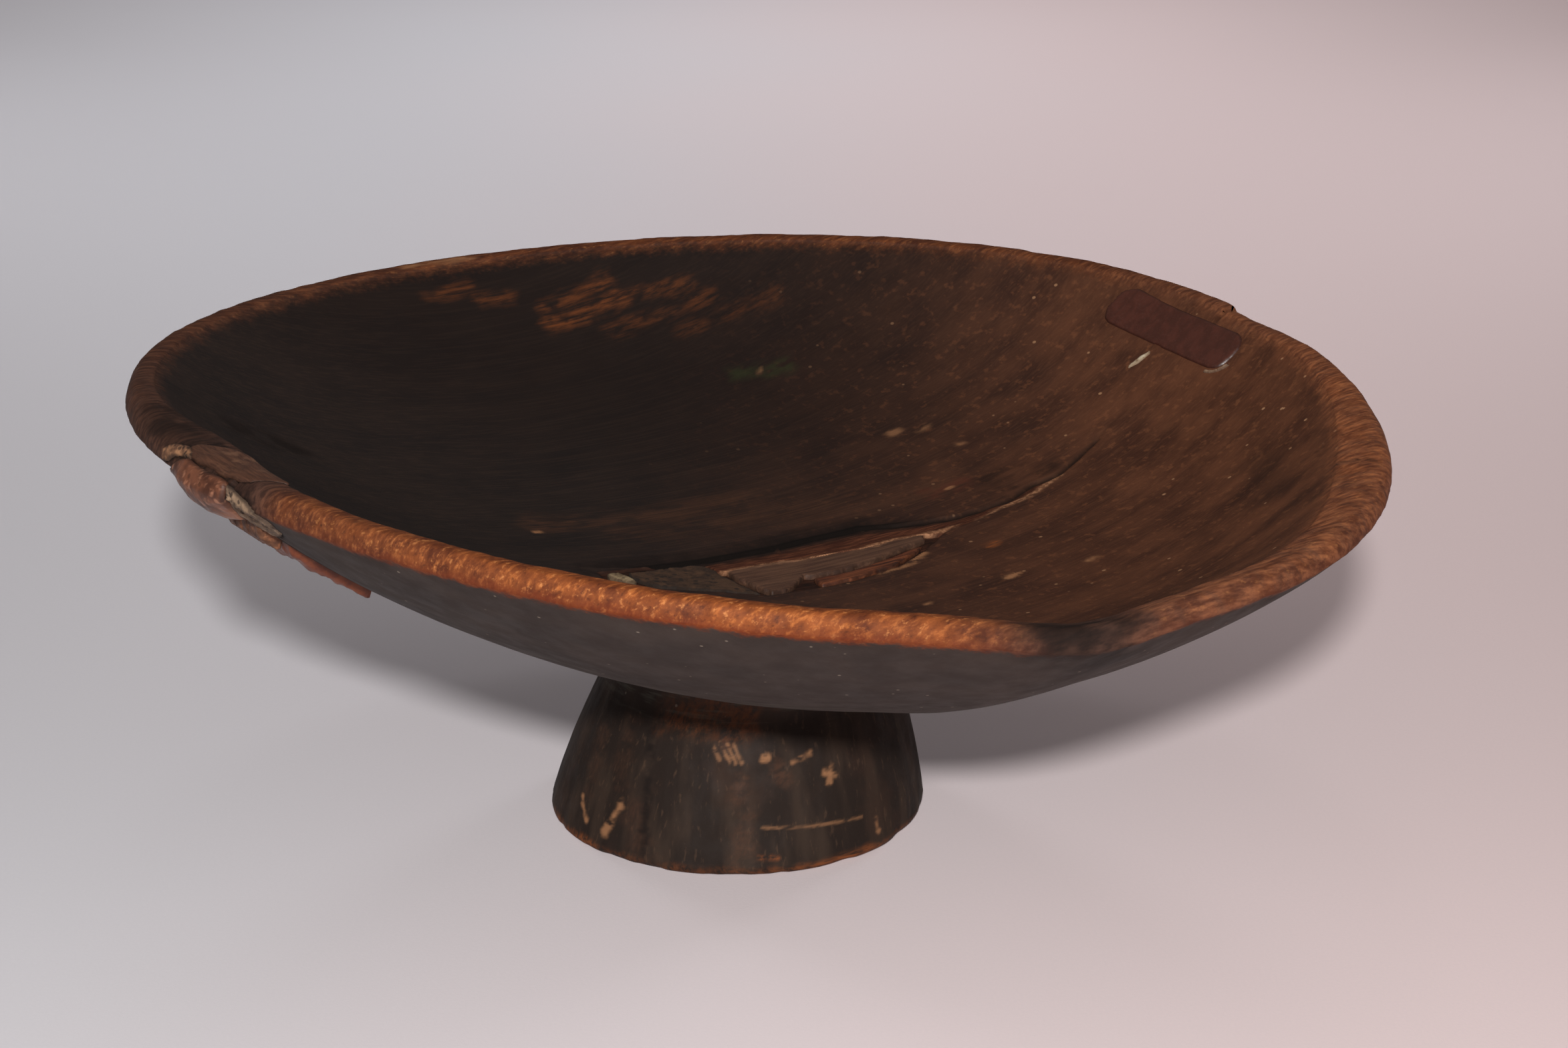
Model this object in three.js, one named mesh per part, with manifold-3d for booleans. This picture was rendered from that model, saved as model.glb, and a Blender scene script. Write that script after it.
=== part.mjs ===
import * as THREE from 'three';
import { mergeVertices } from 'three/addons/utils/BufferGeometryUtils.js';
import Module from 'manifold-3d';

// A shallow dish on a thick round foot, carved from one block of wood, with the old repairs
// that fill its broken rim and the split along its grain. Millimetres, +Z up, +Y away from
// the front. The rim's outline is drawn round the rim centre, and the whole object is moved
// at the end so that the origin lies on the ground under the middle of the outline.

const wasm = await Module();
wasm.setup();

const DEGREE = Math.PI / 180;

// Gap between neighbouring pieces
const CLEARANCE = 0.3;

// Points closer than this are joined, and a moved corner is drawn out to no more than a sharp one
const SAME_POINT = 1e-4;
const SHARPEST_LEAN = 0.5;

// Small step along a surface, to find its direction
const SMALL_STEP = 0.01;

// Rim: mean radius and height. A wave is its order round the rim with its cosine and sine
// amplitudes: two take the outline off a circle, and one warps the rim along the grain.
const RIM_RADIUS = 162.6;
const RADIUS_WAVES = [[2, 0.2, -2.4], [3, -0.7, 0.4]];
const RIM_HEIGHT = 118.2;
const HEIGHT_WAVES = [[2, 0.2, 4.3]];
const SLOPE = new THREE.Vector2(-0.04, 0.01);

// Lip: a worn, rounded edge, thicker at the right and at the broken left
const LIP_WIDTH = 7.5;
const LIP_FACE = 6;
const LIP_EASE = 1.3;
const LIP_CREST = 0.45;
const RIGHT_SWELL = { angle: -12 * DEGREE, width: 23 * DEGREE, size: 7 };
const LEFT_SWELL = { angle: -150 * DEGREE, width: 14 * DEGREE, size: 7 };
const WORN_DIP = { angle: -63.6 * DEGREE, width: 8.6 * DEGREE, size: 4.2 };
const REAR_DIP = { angle: 25 * DEGREE, width: 6 * DEGREE, size: 1.2 };

// Hollow of the dish
const FLOOR_HEIGHT = 73;
const FLOOR_CENTRE = new THREE.Vector2(4.3, 1.5);
const HOLLOW_ROUNDNESS = 0.45;

// Underside and foot
const UNDERSIDE_HEIGHT = 46.5;
const UNDERSIDE_CENTRE = new THREE.Vector2(3.3, -0.5);
const UNDERSIDE_SLOPE = new THREE.Vector2(-0.09, 0);
const UNDERSIDE_ROUNDNESS = 0.88;
const FOOT_RADIUS = 50.8;
const FOOT_CENTRE = new THREE.Vector2(-6.8, 2.5);
const FOOT_CORNER = 2.5;
const FOOT_FLANK = 38;
const FOOT_TAPER = 7.6;
const FOOT_BOW = 3.9;
const FOOT_SHIFT = 3.7;
const FOOT_BLEND = 0.3;

// The block's grain, which every split follows
const GRAIN_ANGLE = 36 * DEGREE;

// Split through the left wall, open from the rim inwards
const SPLIT_ANGLE = -140.2 * DEGREE;
const SPLIT_LENGTH = 44;
const SPLIT_WIDTH = 1.2;
const SPLIT_TIP_WIDTH = 0.4;

// Short split through the back right of the rim
const REAR_SPLIT_ANGLE = 32.2 * DEGREE;
const REAR_SPLIT_LENGTH = 12;
const REAR_SPLIT_WIDTH = 0.8;
const REAR_SPLIT_FLOOR = 16;

// Broken rim at the left: how far the break reaches below the lip, and its outlines as
// pairs of distance round the rim from the left split and distance inside the rim
const BREAK_DEPTH = 15;
const FRAGMENT_DEPTH = 11;
const FRAGMENT_OUTLINE = [[-26.7, 4.2], [-21, 2.8], [-10.8, 2.9], [0, 2.9], [3.7, 6.2], [10.8, 10.8],
  [-2.3, 11.6], [-15.3, 11.8], [-21.6, 9.3], [-24.4, 6.6]];
const LUMP_OUTLINE = [[-30.8, -6], [-3.4, -6], [-3.4, 2.5], [-10.8, 2.4], [-21, 2.3], [-25.8, 3.4],
  [-28.4, 2.1], [-30.8, 0.3]];
const LUMP_SPREAD_OUTLINE = [[-30.6, -6], [-3.4, -6], [-3.4, 7.6], [-25, 9.6]];
const PUTTY_OUTLINE = [[-2.85, -4], [6.8, -4], [4.5, 1], [2.3, 2.4], [-2.85, 2.4]];
const EDGE_FILLER_OUTLINE = [[-36.9, -2.5], [-31.3, -2.5], [-31.3, 0.5], [-28.9, 2.3], [-27.1, 4.4],
  [-30.4, 4], [-36.9, 0.4]];
const LUMP_PROUD = 1.7;
const LUMP_HALF_SIZE = new THREE.Vector3(15, 6.5, 7);
const LUMP_DROP = 6.5;
const LUMP_FACES = 24;
const LUMP_LEVELS = 14;
const PUTTY_PROUD = 0.6;
const PUTTY_DEPTH = 12;
const EDGE_FILLER_PROUD = 0.4;
const EDGE_FILLER_DEPTH = 7;

// Splinter and squeezed-out resin on the outer wall, along the left split
const SPLINTER_OUTLINE = [[-26.4, 11.5], [-17.9, 8.9], [-0.9, 8.4], [0.6, 14.6], [-8, 15.1], [-17.6, 16.4]];
const SPLINTER_PROUD = 1.8;
const RESIN_OUTLINE = [[0.3, 15.4], [-8, 15.9], [-16.5, 17.4], [-16.5, 22], [-8.5, 23], [-4.3, 24.5],
  [-3.4, 28], [-6.8, 30], [-6.2, 35], [-0.6, 38.5], [1.4, 39], [0.9, 27]];
const RESIN_PROUD = 1.6;
const OUTER_SEAT = 0.8;

// Wall patch at the back right, on the inner wall across the split
const PATCH_ANGLE = 36.2 * DEGREE;
const PATCH_INSET = 15.8;
const PATCH_TURN = -4 * DEGREE;
const PATCH_LENGTH = 53;
const PATCH_WIDTH = 14;
const PATCH_CORNER = 5.5;
const PATCH_PROUD = 1.4;
const PATCH_RECESS = 1;
const PATCH_REACH = 7;
const PATCH_OUTLINE_POINTS = 36;
const BEDDING_WIDTH = 1.2;
const BEDDING_PROUD = 0.8;
const BEDDING_START = 0.12;
const BEDDING_TOP = 0.2;

// Pale putty in the split just below the patch, measured in the patch's own directions
const STREAK_LENGTH = 9;
const STREAK_WIDTH = 2.2;
const STREAK_PLACE = new THREE.Vector2(-1.9, -13.2);
const STREAK_TURN = 77 * DEGREE;
const STREAK_SHAPE = [[1, 0.4], [0.3, 1], [-0.6, 0.8], [-1, -0.2], [-0.2, -1], [0.8, -0.7]];
const STREAK_PROUD = 0.5;
const STREAK_RECESS = 0.8;

// Height that clears every part of the dish, and how many lip widths outside the rim clear it too
const TOP = RIM_HEIGHT + BREAK_DEPTH;
const WIDE = 5;

// Split in the floor, with what lies in it. Outlines run along and across the grain from
// the floor's centre.
const FLOOR_SPLIT_DEPTH = 3;
const FLOOR_SPLIT_OUTLINE = [[-58, -6], [-56, 1.2], [-42, 2.6], [-23.4, 2.3], [-2, 2], [12.6, 2.9],
  [28.3, 1.9], [40, -4], [52.4, -9.6], [60.4, -10.6], [68.5, -11.6], [79.2, -9.4], [86, -11.6], [104, -8.2],
  [104, -9.2], [86, -13.6], [73, -15], [64, -14.8], [53.2, -17.3], [46, -16.5], [40, -18.5], [31.5, -23.6],
  [19, -29], [2, -31.2], [-8, -30.5], [-24, -30], [-36, -21.5], [-52, -12.5]];
const SPLIT_TAIL_OUTLINE = [[103, -8.3], [115, -6], [126, 3.5], [127, 2.7], [115.6, -7], [103, -9.1]];
const SPLIT_TAIL_DEPTH = 1.6;
const SLIVER_OUTLINE = [[-22.5, -28.4], [-23.5, -8.5], [-9, -8.8], [0.3, -10.1], [10.3, -11.1], [19, -12.4],
  [30, -12.4], [38, -14.5], [36, -18], [28, -19], [16, -21.4], [4.6, -23], [-4, -22.3], [-7, -20.6],
  [-9.5, -23], [-10.5, -28.8]];
const SLIVER_PROUD = 0.5;
const SMALL_SLIVER_OUTLINE = [[-6.2, -24.2], [4.6, -24.8], [16.2, -23], [30, -20.3], [33, -20.6],
  [29.5, -22.9], [18, -27.5], [2, -29.8], [-7, -29.2]];
const SMALL_SLIVER_PROUD = 0.1;
const FLOOR_FILLER_OUTLINE = [[-41, -3], [-39.5, 0.6], [-28, 0.2], [-24.2, -2.5], [-24.6, -27.5],
  [-35, -18.5]];
const FLOOR_FILLER_PROUD = -0.8;
const FLOOR_PUTTY_OUTLINE = [[-55.3, -5.5], [-54, -0.5], [-47, -0.4], [-42, -1.5], [-42.6, -7], [-50, -10.5]];
const FLOOR_PUTTY_PROUD = 0.3;

// Faces round the dish, and rings on each stretch of its section
const SEGMENTS = 72;
const CORNER_RINGS = 3;
const FLANK_RINGS = 3;
const BLEND_RINGS = 3;
const UNDERSIDE_RINGS = 8;
const LIP_RINGS = 4;
const HOLLOW_RINGS = 8;

const MATERIALS = {
  dark_wood: new THREE.MeshStandardMaterial({ color: 0x3a2a22, roughness: 0.55, metalness: 0 }),
  broken_wood: new THREE.MeshStandardMaterial({ color: 0x6e5646, roughness: 0.7, metalness: 0 }),
  brown_resin: new THREE.MeshStandardMaterial({ color: 0x5e3a2a, roughness: 0.35, metalness: 0 }),
  red_resin: new THREE.MeshStandardMaterial({ color: 0x6e321e, roughness: 0.4, metalness: 0 }),
  pale_putty: new THREE.MeshStandardMaterial({ color: 0xa39a8a, roughness: 0.9, metalness: 0 }),
  patch_leather: new THREE.MeshStandardMaterial({ color: 0x4e261e, roughness: 0.5, metalness: 0 }),
  dark_filler: new THREE.MeshStandardMaterial({ color: 0x3c3a26, roughness: 0.8, metalness: 0 })
};

// 1 at the swell's own angle, fading to 0 away from it
function fade(angle, { angle: centre, width }) {
  const turn = Math.atan2(Math.sin(angle - centre), Math.cos(angle - centre));
  return Math.exp(-((turn / width) ** 2));
}

function sumWaves(waves, angle) {
  return waves.reduce((total, [order, cosine, sine]) =>
    total + cosine * Math.cos(order * angle) + sine * Math.sin(order * angle), 0);
}

function rimRadius(angle) {
  return RIM_RADIUS + sumWaves(RADIUS_WAVES, angle);
}

function lipWidth(angle) {
  return LIP_WIDTH + RIGHT_SWELL.size * fade(angle, RIGHT_SWELL) + LEFT_SWELL.size * fade(angle, LEFT_SWELL);
}

// Point of the plan at an angle and a distance inside the rim
function insideRim(angle, inset) {
  const radius = rimRadius(angle) - inset;
  return new THREE.Vector2(radius * Math.cos(angle), radius * Math.sin(angle));
}

function lipTop(angle) {
  const dips = WORN_DIP.size * fade(angle, WORN_DIP) + REAR_DIP.size * fade(angle, REAR_DIP);
  return RIM_HEIGHT + SLOPE.dot(insideRim(angle, 0)) + sumWaves(HEIGHT_WAVES, angle) - dips;
}

function lipPoint(angle, across, drop) {
  const place = insideRim(angle, across * lipWidth(angle));
  return new THREE.Vector3(place.x, place.y, lipTop(angle) - drop);
}

// Point on a bowl-shaped surface, a share of the way from its centre to its edge
function bowlPoint(edge, centre, height, slope, roundness, share) {
  const place = centre.clone().lerp(edge, share);
  const rise = roundness * share ** 2 + (1 - roundness) * share ** 4;
  const climb = edge.z - height - slope.dot(edge);
  return new THREE.Vector3(place.x, place.y, height + slope.dot(place) + climb * rise);
}

function hollowPoint(angle, share) {
  const edge = lipPoint(angle, 1, LIP_EASE);
  return bowlPoint(edge, FLOOR_CENTRE, FLOOR_HEIGHT, SLOPE, HOLLOW_ROUNDNESS, share);
}

function undersidePoint(angle, share) {
  const edge = lipPoint(angle, 0, LIP_FACE);
  return bowlPoint(edge, UNDERSIDE_CENTRE, UNDERSIDE_HEIGHT, UNDERSIDE_SLOPE, UNDERSIDE_ROUNDNESS, share);
}

function flankPoint(angle, height) {
  const share = height / FOOT_FLANK;
  const radius = FOOT_RADIUS - FOOT_TAPER * share - FOOT_BOW * share ** 2;
  const x = FOOT_CENTRE.x + FOOT_SHIFT * share + radius * Math.cos(angle);
  return new THREE.Vector3(x, FOOT_CENTRE.y + radius * Math.sin(angle), height);
}

function footCornerPoint(angle, turn) {
  const point = flankPoint(angle, FOOT_CORNER * (1 - Math.cos(turn)));
  const inset = FOOT_CORNER * (1 - Math.sin(turn));
  return point.sub(new THREE.Vector3(inset * Math.cos(angle), inset * Math.sin(angle), 0));
}

// Hollow curve from the foot's flank into the underside
function blendPoint(angle, share) {
  const low = flankPoint(angle, FOOT_FLANK);
  const high = undersidePoint(angle, FOOT_BLEND);
  const corner = flankPoint(angle, high.z);
  return new THREE.QuadraticBezierCurve3(low, corner, high).getPoint(share);
}

function outerLipPoint(angle, share) {
  const turn = share * Math.PI / 2;
  return lipPoint(angle, LIP_CREST * (1 - Math.cos(turn)), LIP_FACE * (1 - Math.sin(turn)));
}

function innerLipPoint(angle, share) {
  const turn = share * Math.PI / 2;
  return lipPoint(angle, LIP_CREST + (1 - LIP_CREST) * Math.sin(turn), LIP_EASE * (1 - Math.cos(turn)));
}

// One ring of points round the dish
function ring(pointAt) {
  return Array.from({ length: SEGMENTS }, (_, index) => pointAt(2 * Math.PI * index / SEGMENTS));
}

// Rings at the shares from first to last of a stretch of the section
function rings(count, first, last, pointAt) {
  return Array.from({ length: count }, (_, index) => {
    const share = first + (last - first) * index / (count - 1);
    return ring(angle => pointAt(angle, share));
  });
}

// Closed body through rings that run from a pole below, outwards, up and in to a pole above
function ringBody(low, ringList, high) {
  const positions = [low, ...ringList.flat(), high].flatMap(point => point.toArray());
  const top = ringList.length * SEGMENTS + 1;
  const faces = [];
  for (let step = 0; step < SEGMENTS; step += 1) {
    const next = (step + 1) % SEGMENTS;
    faces.push(0, 1 + next, 1 + step);
    for (let level = 0; level < ringList.length - 1; level += 1) {
      const a = 1 + level * SEGMENTS + step;
      const b = 1 + level * SEGMENTS + next;
      faces.push(a, b, b + SEGMENTS, a, b + SEGMENTS, a + SEGMENTS);
    }
    const last = top - SEGMENTS;
    faces.push(last + step, last + next, top);
  }
  const geometry = new THREE.BufferGeometry();
  geometry.setAttribute('position', new THREE.Float32BufferAttribute(positions, 3));
  geometry.setIndex(faces);
  return geometry;
}

function solidOf(geometry) {
  const bare = geometry.clone();
  bare.deleteAttribute('normal');
  bare.deleteAttribute('uv');
  const merged = mergeVertices(bare, SAME_POINT);
  return new wasm.Manifold(new wasm.Mesh({
    numProp: 3,
    vertProperties: Float32Array.from(merged.attributes.position.array),
    triVerts: Uint32Array.from(merged.index.array)
  }));
}

function geometryOf(solid) {
  const mesh = solid.getMesh();
  const geometry = new THREE.BufferGeometry();
  geometry.setAttribute('position', new THREE.BufferAttribute(mesh.vertProperties, 3));
  geometry.setIndex(new THREE.BufferAttribute(mesh.triVerts, 1));
  const faceted = geometry.toNonIndexed();
  faceted.computeVertexNormals();
  return faceted;
}

function wholeBlock() {
  const ringList = [
    ...rings(CORNER_RINGS, 0, Math.PI / 2, footCornerPoint),
    ...rings(FLANK_RINGS, FOOT_CORNER + FOOT_FLANK / FLANK_RINGS, FOOT_FLANK, flankPoint),
    ...rings(BLEND_RINGS, 1 / BLEND_RINGS, 1, blendPoint),
    ...rings(UNDERSIDE_RINGS, FOOT_BLEND + (1 - FOOT_BLEND) / UNDERSIDE_RINGS, 1, undersidePoint),
    ...rings(LIP_RINGS, 1 / LIP_RINGS, 1, outerLipPoint),
    ...rings(LIP_RINGS - 1, 1 / (LIP_RINGS - 1), 1, innerLipPoint),
    ...rings(HOLLOW_RINGS, 1 - 1 / (HOLLOW_RINGS + 1), 1 / (HOLLOW_RINGS + 1), hollowPoint)
  ];
  const base = new THREE.Vector3(FOOT_CENTRE.x, FOOT_CENTRE.y, 0);
  return solidOf(ringBody(base, ringList, hollowPoint(0, 0)));
}

// Surface point moved off the surface, along its own normal
function offSurface(pointAt, distance) {
  return (angle, share) => {
    const point = pointAt(angle, share);
    const along = pointAt(angle, share + SMALL_STEP).sub(pointAt(angle, share - SMALL_STEP));
    const round = pointAt(angle + SMALL_STEP, share).sub(pointAt(angle - SMALL_STEP, share));
    const normal = along.cross(round).normalize();
    return point.addScaledVector(normal, distance * Math.sign(normal.z));
  };
}

// Everything below the hollow's surface, raised or lowered
function belowHollow(raise) {
  const wide = angle => lipPoint(angle, -WIDE, LIP_EASE);
  const surface = offSurface(hollowPoint, raise);
  const ringList = [
    ring(angle => wide(angle).setZ(0)),
    ring(angle => wide(angle).setZ(surface(angle, 1).z)),
    ...rings(HOLLOW_RINGS + 1, 1, 1 / (HOLLOW_RINGS + 1), surface)
  ];
  const middle = hollowPoint(0, 0);
  return solidOf(ringBody(new THREE.Vector3(), ringList, middle.setZ(middle.z + raise)));
}

// Everything above the underside and inside the rim's outer face, moved out or in
function insideWall(proud) {
  const surface = offSurface(undersidePoint, -proud);
  const face = (angle, share) => lipPoint(angle, -proud / lipWidth(angle), LIP_FACE * (1 - share)).setZ(
    share === 1 ? TOP : lipTop(angle) - LIP_FACE);
  const ringList = [...rings(UNDERSIDE_RINGS + 1, FOOT_BLEND, 1, surface), ...rings(2, 0, 1, face)];
  const middle = undersidePoint(0, 0);
  const low = middle.setZ(middle.z - proud);
  return solidOf(ringBody(low, ringList, new THREE.Vector3(0, 0, TOP)));
}

// Outline moved outwards by a distance, corner by corner
function grown(points, distance) {
  const turnsLeft = THREE.ShapeUtils.area(points) > 0 ? 1 : -1;
  return points.map((point, index) => {
    const before = points[(index + points.length - 1) % points.length];
    const after = points[(index + 1) % points.length];
    const first = point.clone().sub(before).normalize();
    const second = after.clone().sub(point).normalize();
    const outwards = new THREE.Vector2(first.y + second.y, -first.x - second.x).normalize();
    const lean = Math.max(outwards.dot(new THREE.Vector2(first.y, -first.x)), SHARPEST_LEAN);
    return point.clone().addScaledVector(outwards, turnsLeft * distance / lean);
  });
}

function prism(points, low, high) {
  const shape = new THREE.Shape(points);
  const geometry = new THREE.ExtrudeGeometry(shape, { depth: high - low, bevelEnabled: false });
  return solidOf(geometry.translate(0, 0, low));
}

// Outlines given round the rim, and along and across the grain
function rimOutline(pairs) {
  return pairs.map(([along, inset]) => insideRim(SPLIT_ANGLE + along / RIM_RADIUS, inset));
}

function grainOutline(pairs) {
  return pairs.map(([along, across]) =>
    new THREE.Vector2(along, across).rotateAround(new THREE.Vector2(), GRAIN_ANGLE).add(FLOOR_CENTRE));
}

const block = wholeBlock();

// Piece let into the hollow's surface inside a plan outline
function floorInlay(points, proud) {
  const below = belowHollow(CLEARANCE - FLOOR_SPLIT_DEPTH);
  return prism(points, UNDERSIDE_HEIGHT, TOP).intersect(belowHollow(proud)).subtract(below);
}

function floorCut(points, depth) {
  return prism(points, UNDERSIDE_HEIGHT, TOP).subtract(belowHollow(-depth));
}

// Outline of the wedge that the left split opens, from outside the rim to its tip
function splitOutline(angle, length, width, tipWidth) {
  const start = insideRim(angle, -LIP_WIDTH);
  const along = new THREE.Vector2(-Math.cos(angle), -Math.sin(angle));
  const grain = new THREE.Vector2(Math.cos(GRAIN_ANGLE), Math.sin(GRAIN_ANGLE));
  const heading = grain.multiplyScalar(Math.sign(grain.dot(along)));
  const side = new THREE.Vector2(-heading.y, heading.x);
  const tip = start.clone().addScaledVector(heading, length + LIP_WIDTH);
  return [
    start.clone().addScaledVector(side, -width / 2),
    tip.clone().addScaledVector(side, -tipWidth / 2),
    tip.clone().addScaledVector(side, tipWidth / 2),
    start.clone().addScaledVector(side, width / 2)
  ];
}

const leftSplit = prism(splitOutline(SPLIT_ANGLE, SPLIT_LENGTH, SPLIT_WIDTH, SPLIT_TIP_WIDTH), 0, TOP);
const rearSplit = prism(
  splitOutline(REAR_SPLIT_ANGLE, REAR_SPLIT_LENGTH, REAR_SPLIT_WIDTH, SPLIT_TIP_WIDTH),
  lipTop(REAR_SPLIT_ANGLE) - REAR_SPLIT_FLOOR, TOP);

// Pieces that rebuild the broken rim
const breakTop = lipTop(SPLIT_ANGLE);
const fragment = prism(rimOutline(FRAGMENT_OUTLINE), breakTop - FRAGMENT_DEPTH, TOP).intersect(block);

function rimFill(outline, depth, proud) {
  const body = prism(rimOutline(outline), breakTop - depth, TOP);
  return body.intersect(insideWall(proud)).intersect(belowLip(proud));
}

// Everything lower than the lip's crest, raised by a distance
function belowLip(raise) {
  const ringList = [
    ring(angle => lipPoint(angle, -WIDE, 0).setZ(0)),
    ring(angle => lipPoint(angle, -WIDE, -raise)),
    ring(angle => lipPoint(angle, LIP_CREST, -raise)),
    ring(angle => lipPoint(angle, 1, LIP_EASE - raise))
  ];
  return solidOf(ringBody(new THREE.Vector3(), ringList, new THREE.Vector3(0, 0, RIM_HEIGHT + raise)));
}

const putty = rimFill(PUTTY_OUTLINE, PUTTY_DEPTH, PUTTY_PROUD);
const edgeFiller = rimFill(EDGE_FILLER_OUTLINE, EDGE_FILLER_DEPTH, EDGE_FILLER_PROUD);

// Rounded lump: an egg laid along the rim, kept within the space between its neighbours
function lumpEgg() {
  const middle = SPLIT_ANGLE + (LUMP_OUTLINE[0][0] + LUMP_OUTLINE[1][0]) / 2 / RIM_RADIUS;
  const egg = new THREE.SphereGeometry(1, LUMP_FACES, LUMP_LEVELS);
  egg.scale(LUMP_HALF_SIZE.x, LUMP_HALF_SIZE.y, LUMP_HALF_SIZE.z);
  egg.rotateZ(middle + Math.PI / 2);
  const place = insideRim(middle, LUMP_HALF_SIZE.y - LUMP_PROUD);
  egg.translate(place.x, place.y, lipTop(middle) - LUMP_DROP);
  return solidOf(egg);
}

// What is cut from the block for a rim piece: its outline with the clearance round it
function breakCut(outline, depth) {
  return prism(grown(rimOutline(outline), CLEARANCE), breakTop - depth - CLEARANCE, TOP);
}

const lumpShelf = breakCut(LUMP_OUTLINE, BREAK_DEPTH);
const lumpSeat = prism(rimOutline(LUMP_OUTLINE), breakTop - BREAK_DEPTH, TOP);
const lumpSpread = prism(rimOutline(LUMP_SPREAD_OUTLINE), 0, TOP).subtract(insideWall(CLEARANCE));
const lump = lumpEgg().intersect(lumpSeat.add(lumpSpread));

// Piece laid against the outer wall inside a plan outline, let in a little
function wallPiece(outline, proud) {
  const body = prism(rimOutline(outline), 0, breakTop - LIP_FACE);
  return body.intersect(insideWall(proud)).subtract(insideWall(CLEARANCE - OUTER_SEAT));
}

function wallCut(outline) {
  const body = prism(grown(rimOutline(outline), CLEARANCE), 0, breakTop - LIP_FACE);
  return body.subtract(insideWall(-OUTER_SEAT));
}

const splinter = wallPiece(SPLINTER_OUTLINE, SPLINTER_PROUD)
  .subtract(lumpShelf)
  .subtract(breakCut(PUTTY_OUTLINE, PUTTY_DEPTH));
const resin = wallPiece(RESIN_OUTLINE, RESIN_PROUD);

// Frame on the inner wall: x along the rim, y up the wall, z out of it
function patchFrame() {
  const edge = hollowPoint(PATCH_ANGLE, 1);
  const reach = Math.hypot(edge.x - FLOOR_CENTRE.x, edge.y - FLOOR_CENTRE.y);
  const share = 1 - (PATCH_INSET - lipWidth(PATCH_ANGLE)) / reach;
  const point = hollowPoint(PATCH_ANGLE, share);
  const higher = hollowPoint(PATCH_ANGLE, share + SMALL_STEP);
  const up = higher.sub(hollowPoint(PATCH_ANGLE, share - SMALL_STEP)).normalize();
  const along = new THREE.Vector3(Math.sin(PATCH_ANGLE), -Math.cos(PATCH_ANGLE), 0);
  const out = along.clone().cross(up).normalize();
  const frame = new THREE.Matrix4().makeBasis(along, up, out).setPosition(point);
  return frame.multiply(new THREE.Matrix4().makeRotationZ(PATCH_TURN));
}

const wallFrame = patchFrame();

function roundedStrip(length, width, corner) {
  const shape = new THREE.Shape();
  const x = length / 2 - corner;
  const y = width / 2 - corner;
  shape.absarc(x, y, corner, 0, Math.PI / 2);
  shape.absarc(-x, y, corner, Math.PI / 2, Math.PI);
  shape.absarc(-x, -y, corner, Math.PI, 1.5 * Math.PI);
  shape.absarc(x, -y, corner, 1.5 * Math.PI, 2 * Math.PI);
  return shape.getSpacedPoints(PATCH_OUTLINE_POINTS).slice(0, -1);
}

// Prism square to the inner wall, from inside the wall to well clear of it
function wallPrism(points, inwards, outwards) {
  const shape = new THREE.Shape(points);
  const geometry = new THREE.ExtrudeGeometry(shape, { depth: inwards + outwards, bevelEnabled: false });
  return solidOf(geometry.translate(0, 0, -inwards).applyMatrix4(wallFrame));
}

const patchOutline = roundedStrip(PATCH_LENGTH, PATCH_WIDTH, PATCH_CORNER);

function wallInlay(points, proud, recess) {
  const body = wallPrism(points, PATCH_REACH, PATCH_REACH + PATCH_WIDTH);
  return body.intersect(belowHollow(proud)).subtract(belowHollow(CLEARANCE - recess));
}

function wallRecess(points, recess) {
  return wallPrism(grown(points, CLEARANCE), PATCH_REACH, PATCH_REACH + PATCH_WIDTH)
    .subtract(belowHollow(-recess));
}

const patch = wallInlay(patchOutline, PATCH_PROUD, PATCH_RECESS);

// Thin bead along the patch's lower edge
function beddingOutline() {
  const inner = grown(patchOutline, CLEARANCE);
  const outer = grown(patchOutline, CLEARANCE + BEDDING_WIDTH);
  const start = -PATCH_LENGTH * (0.5 - BEDDING_START);
  const chosen = index => patchOutline[index].y < -PATCH_WIDTH * BEDDING_TOP && patchOutline[index].x > start;
  const indices = patchOutline.map((_, index) => index).filter(chosen);
  const order = indices.sort((a, b) => patchOutline[a].x - patchOutline[b].x);
  return [...order.map(index => inner[index]), ...order.reverse().map(index => outer[index])];
}

const bedding = wallInlay(beddingOutline(), BEDDING_PROUD, 0);

function streakOutline() {
  const half = new THREE.Vector2(STREAK_LENGTH / 2, STREAK_WIDTH / 2);
  return STREAK_SHAPE.map(([x, y]) =>
    new THREE.Vector2(x, y).multiply(half).rotateAround(new THREE.Vector2(), STREAK_TURN).add(STREAK_PLACE));
}

const streak = wallInlay(streakOutline(), STREAK_PROUD, STREAK_RECESS);

const sliver = floorInlay(grainOutline(SLIVER_OUTLINE), SLIVER_PROUD);
const smallSliver = floorInlay(grainOutline(SMALL_SLIVER_OUTLINE), SMALL_SLIVER_PROUD);
const floorFiller = floorInlay(grainOutline(FLOOR_FILLER_OUTLINE), FLOOR_FILLER_PROUD);
const floorPutty = floorInlay(grainOutline(FLOOR_PUTTY_OUTLINE), FLOOR_PUTTY_PROUD);

const dish = [
  leftSplit,
  rearSplit,
  breakCut(FRAGMENT_OUTLINE, FRAGMENT_DEPTH),
  lumpShelf,
  breakCut(PUTTY_OUTLINE, PUTTY_DEPTH),
  breakCut(EDGE_FILLER_OUTLINE, EDGE_FILLER_DEPTH),
  wallCut(SPLINTER_OUTLINE),
  wallCut(RESIN_OUTLINE),
  wallRecess(patchOutline, PATCH_RECESS),
  wallRecess(streakOutline(), STREAK_RECESS),
  floorCut(grainOutline(FLOOR_SPLIT_OUTLINE), FLOOR_SPLIT_DEPTH),
  floorCut(grainOutline(SPLIT_TAIL_OUTLINE), SPLIT_TAIL_DEPTH)
].reduce((body, cut) => body.subtract(cut), block);

const group = new THREE.Group();

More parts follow.
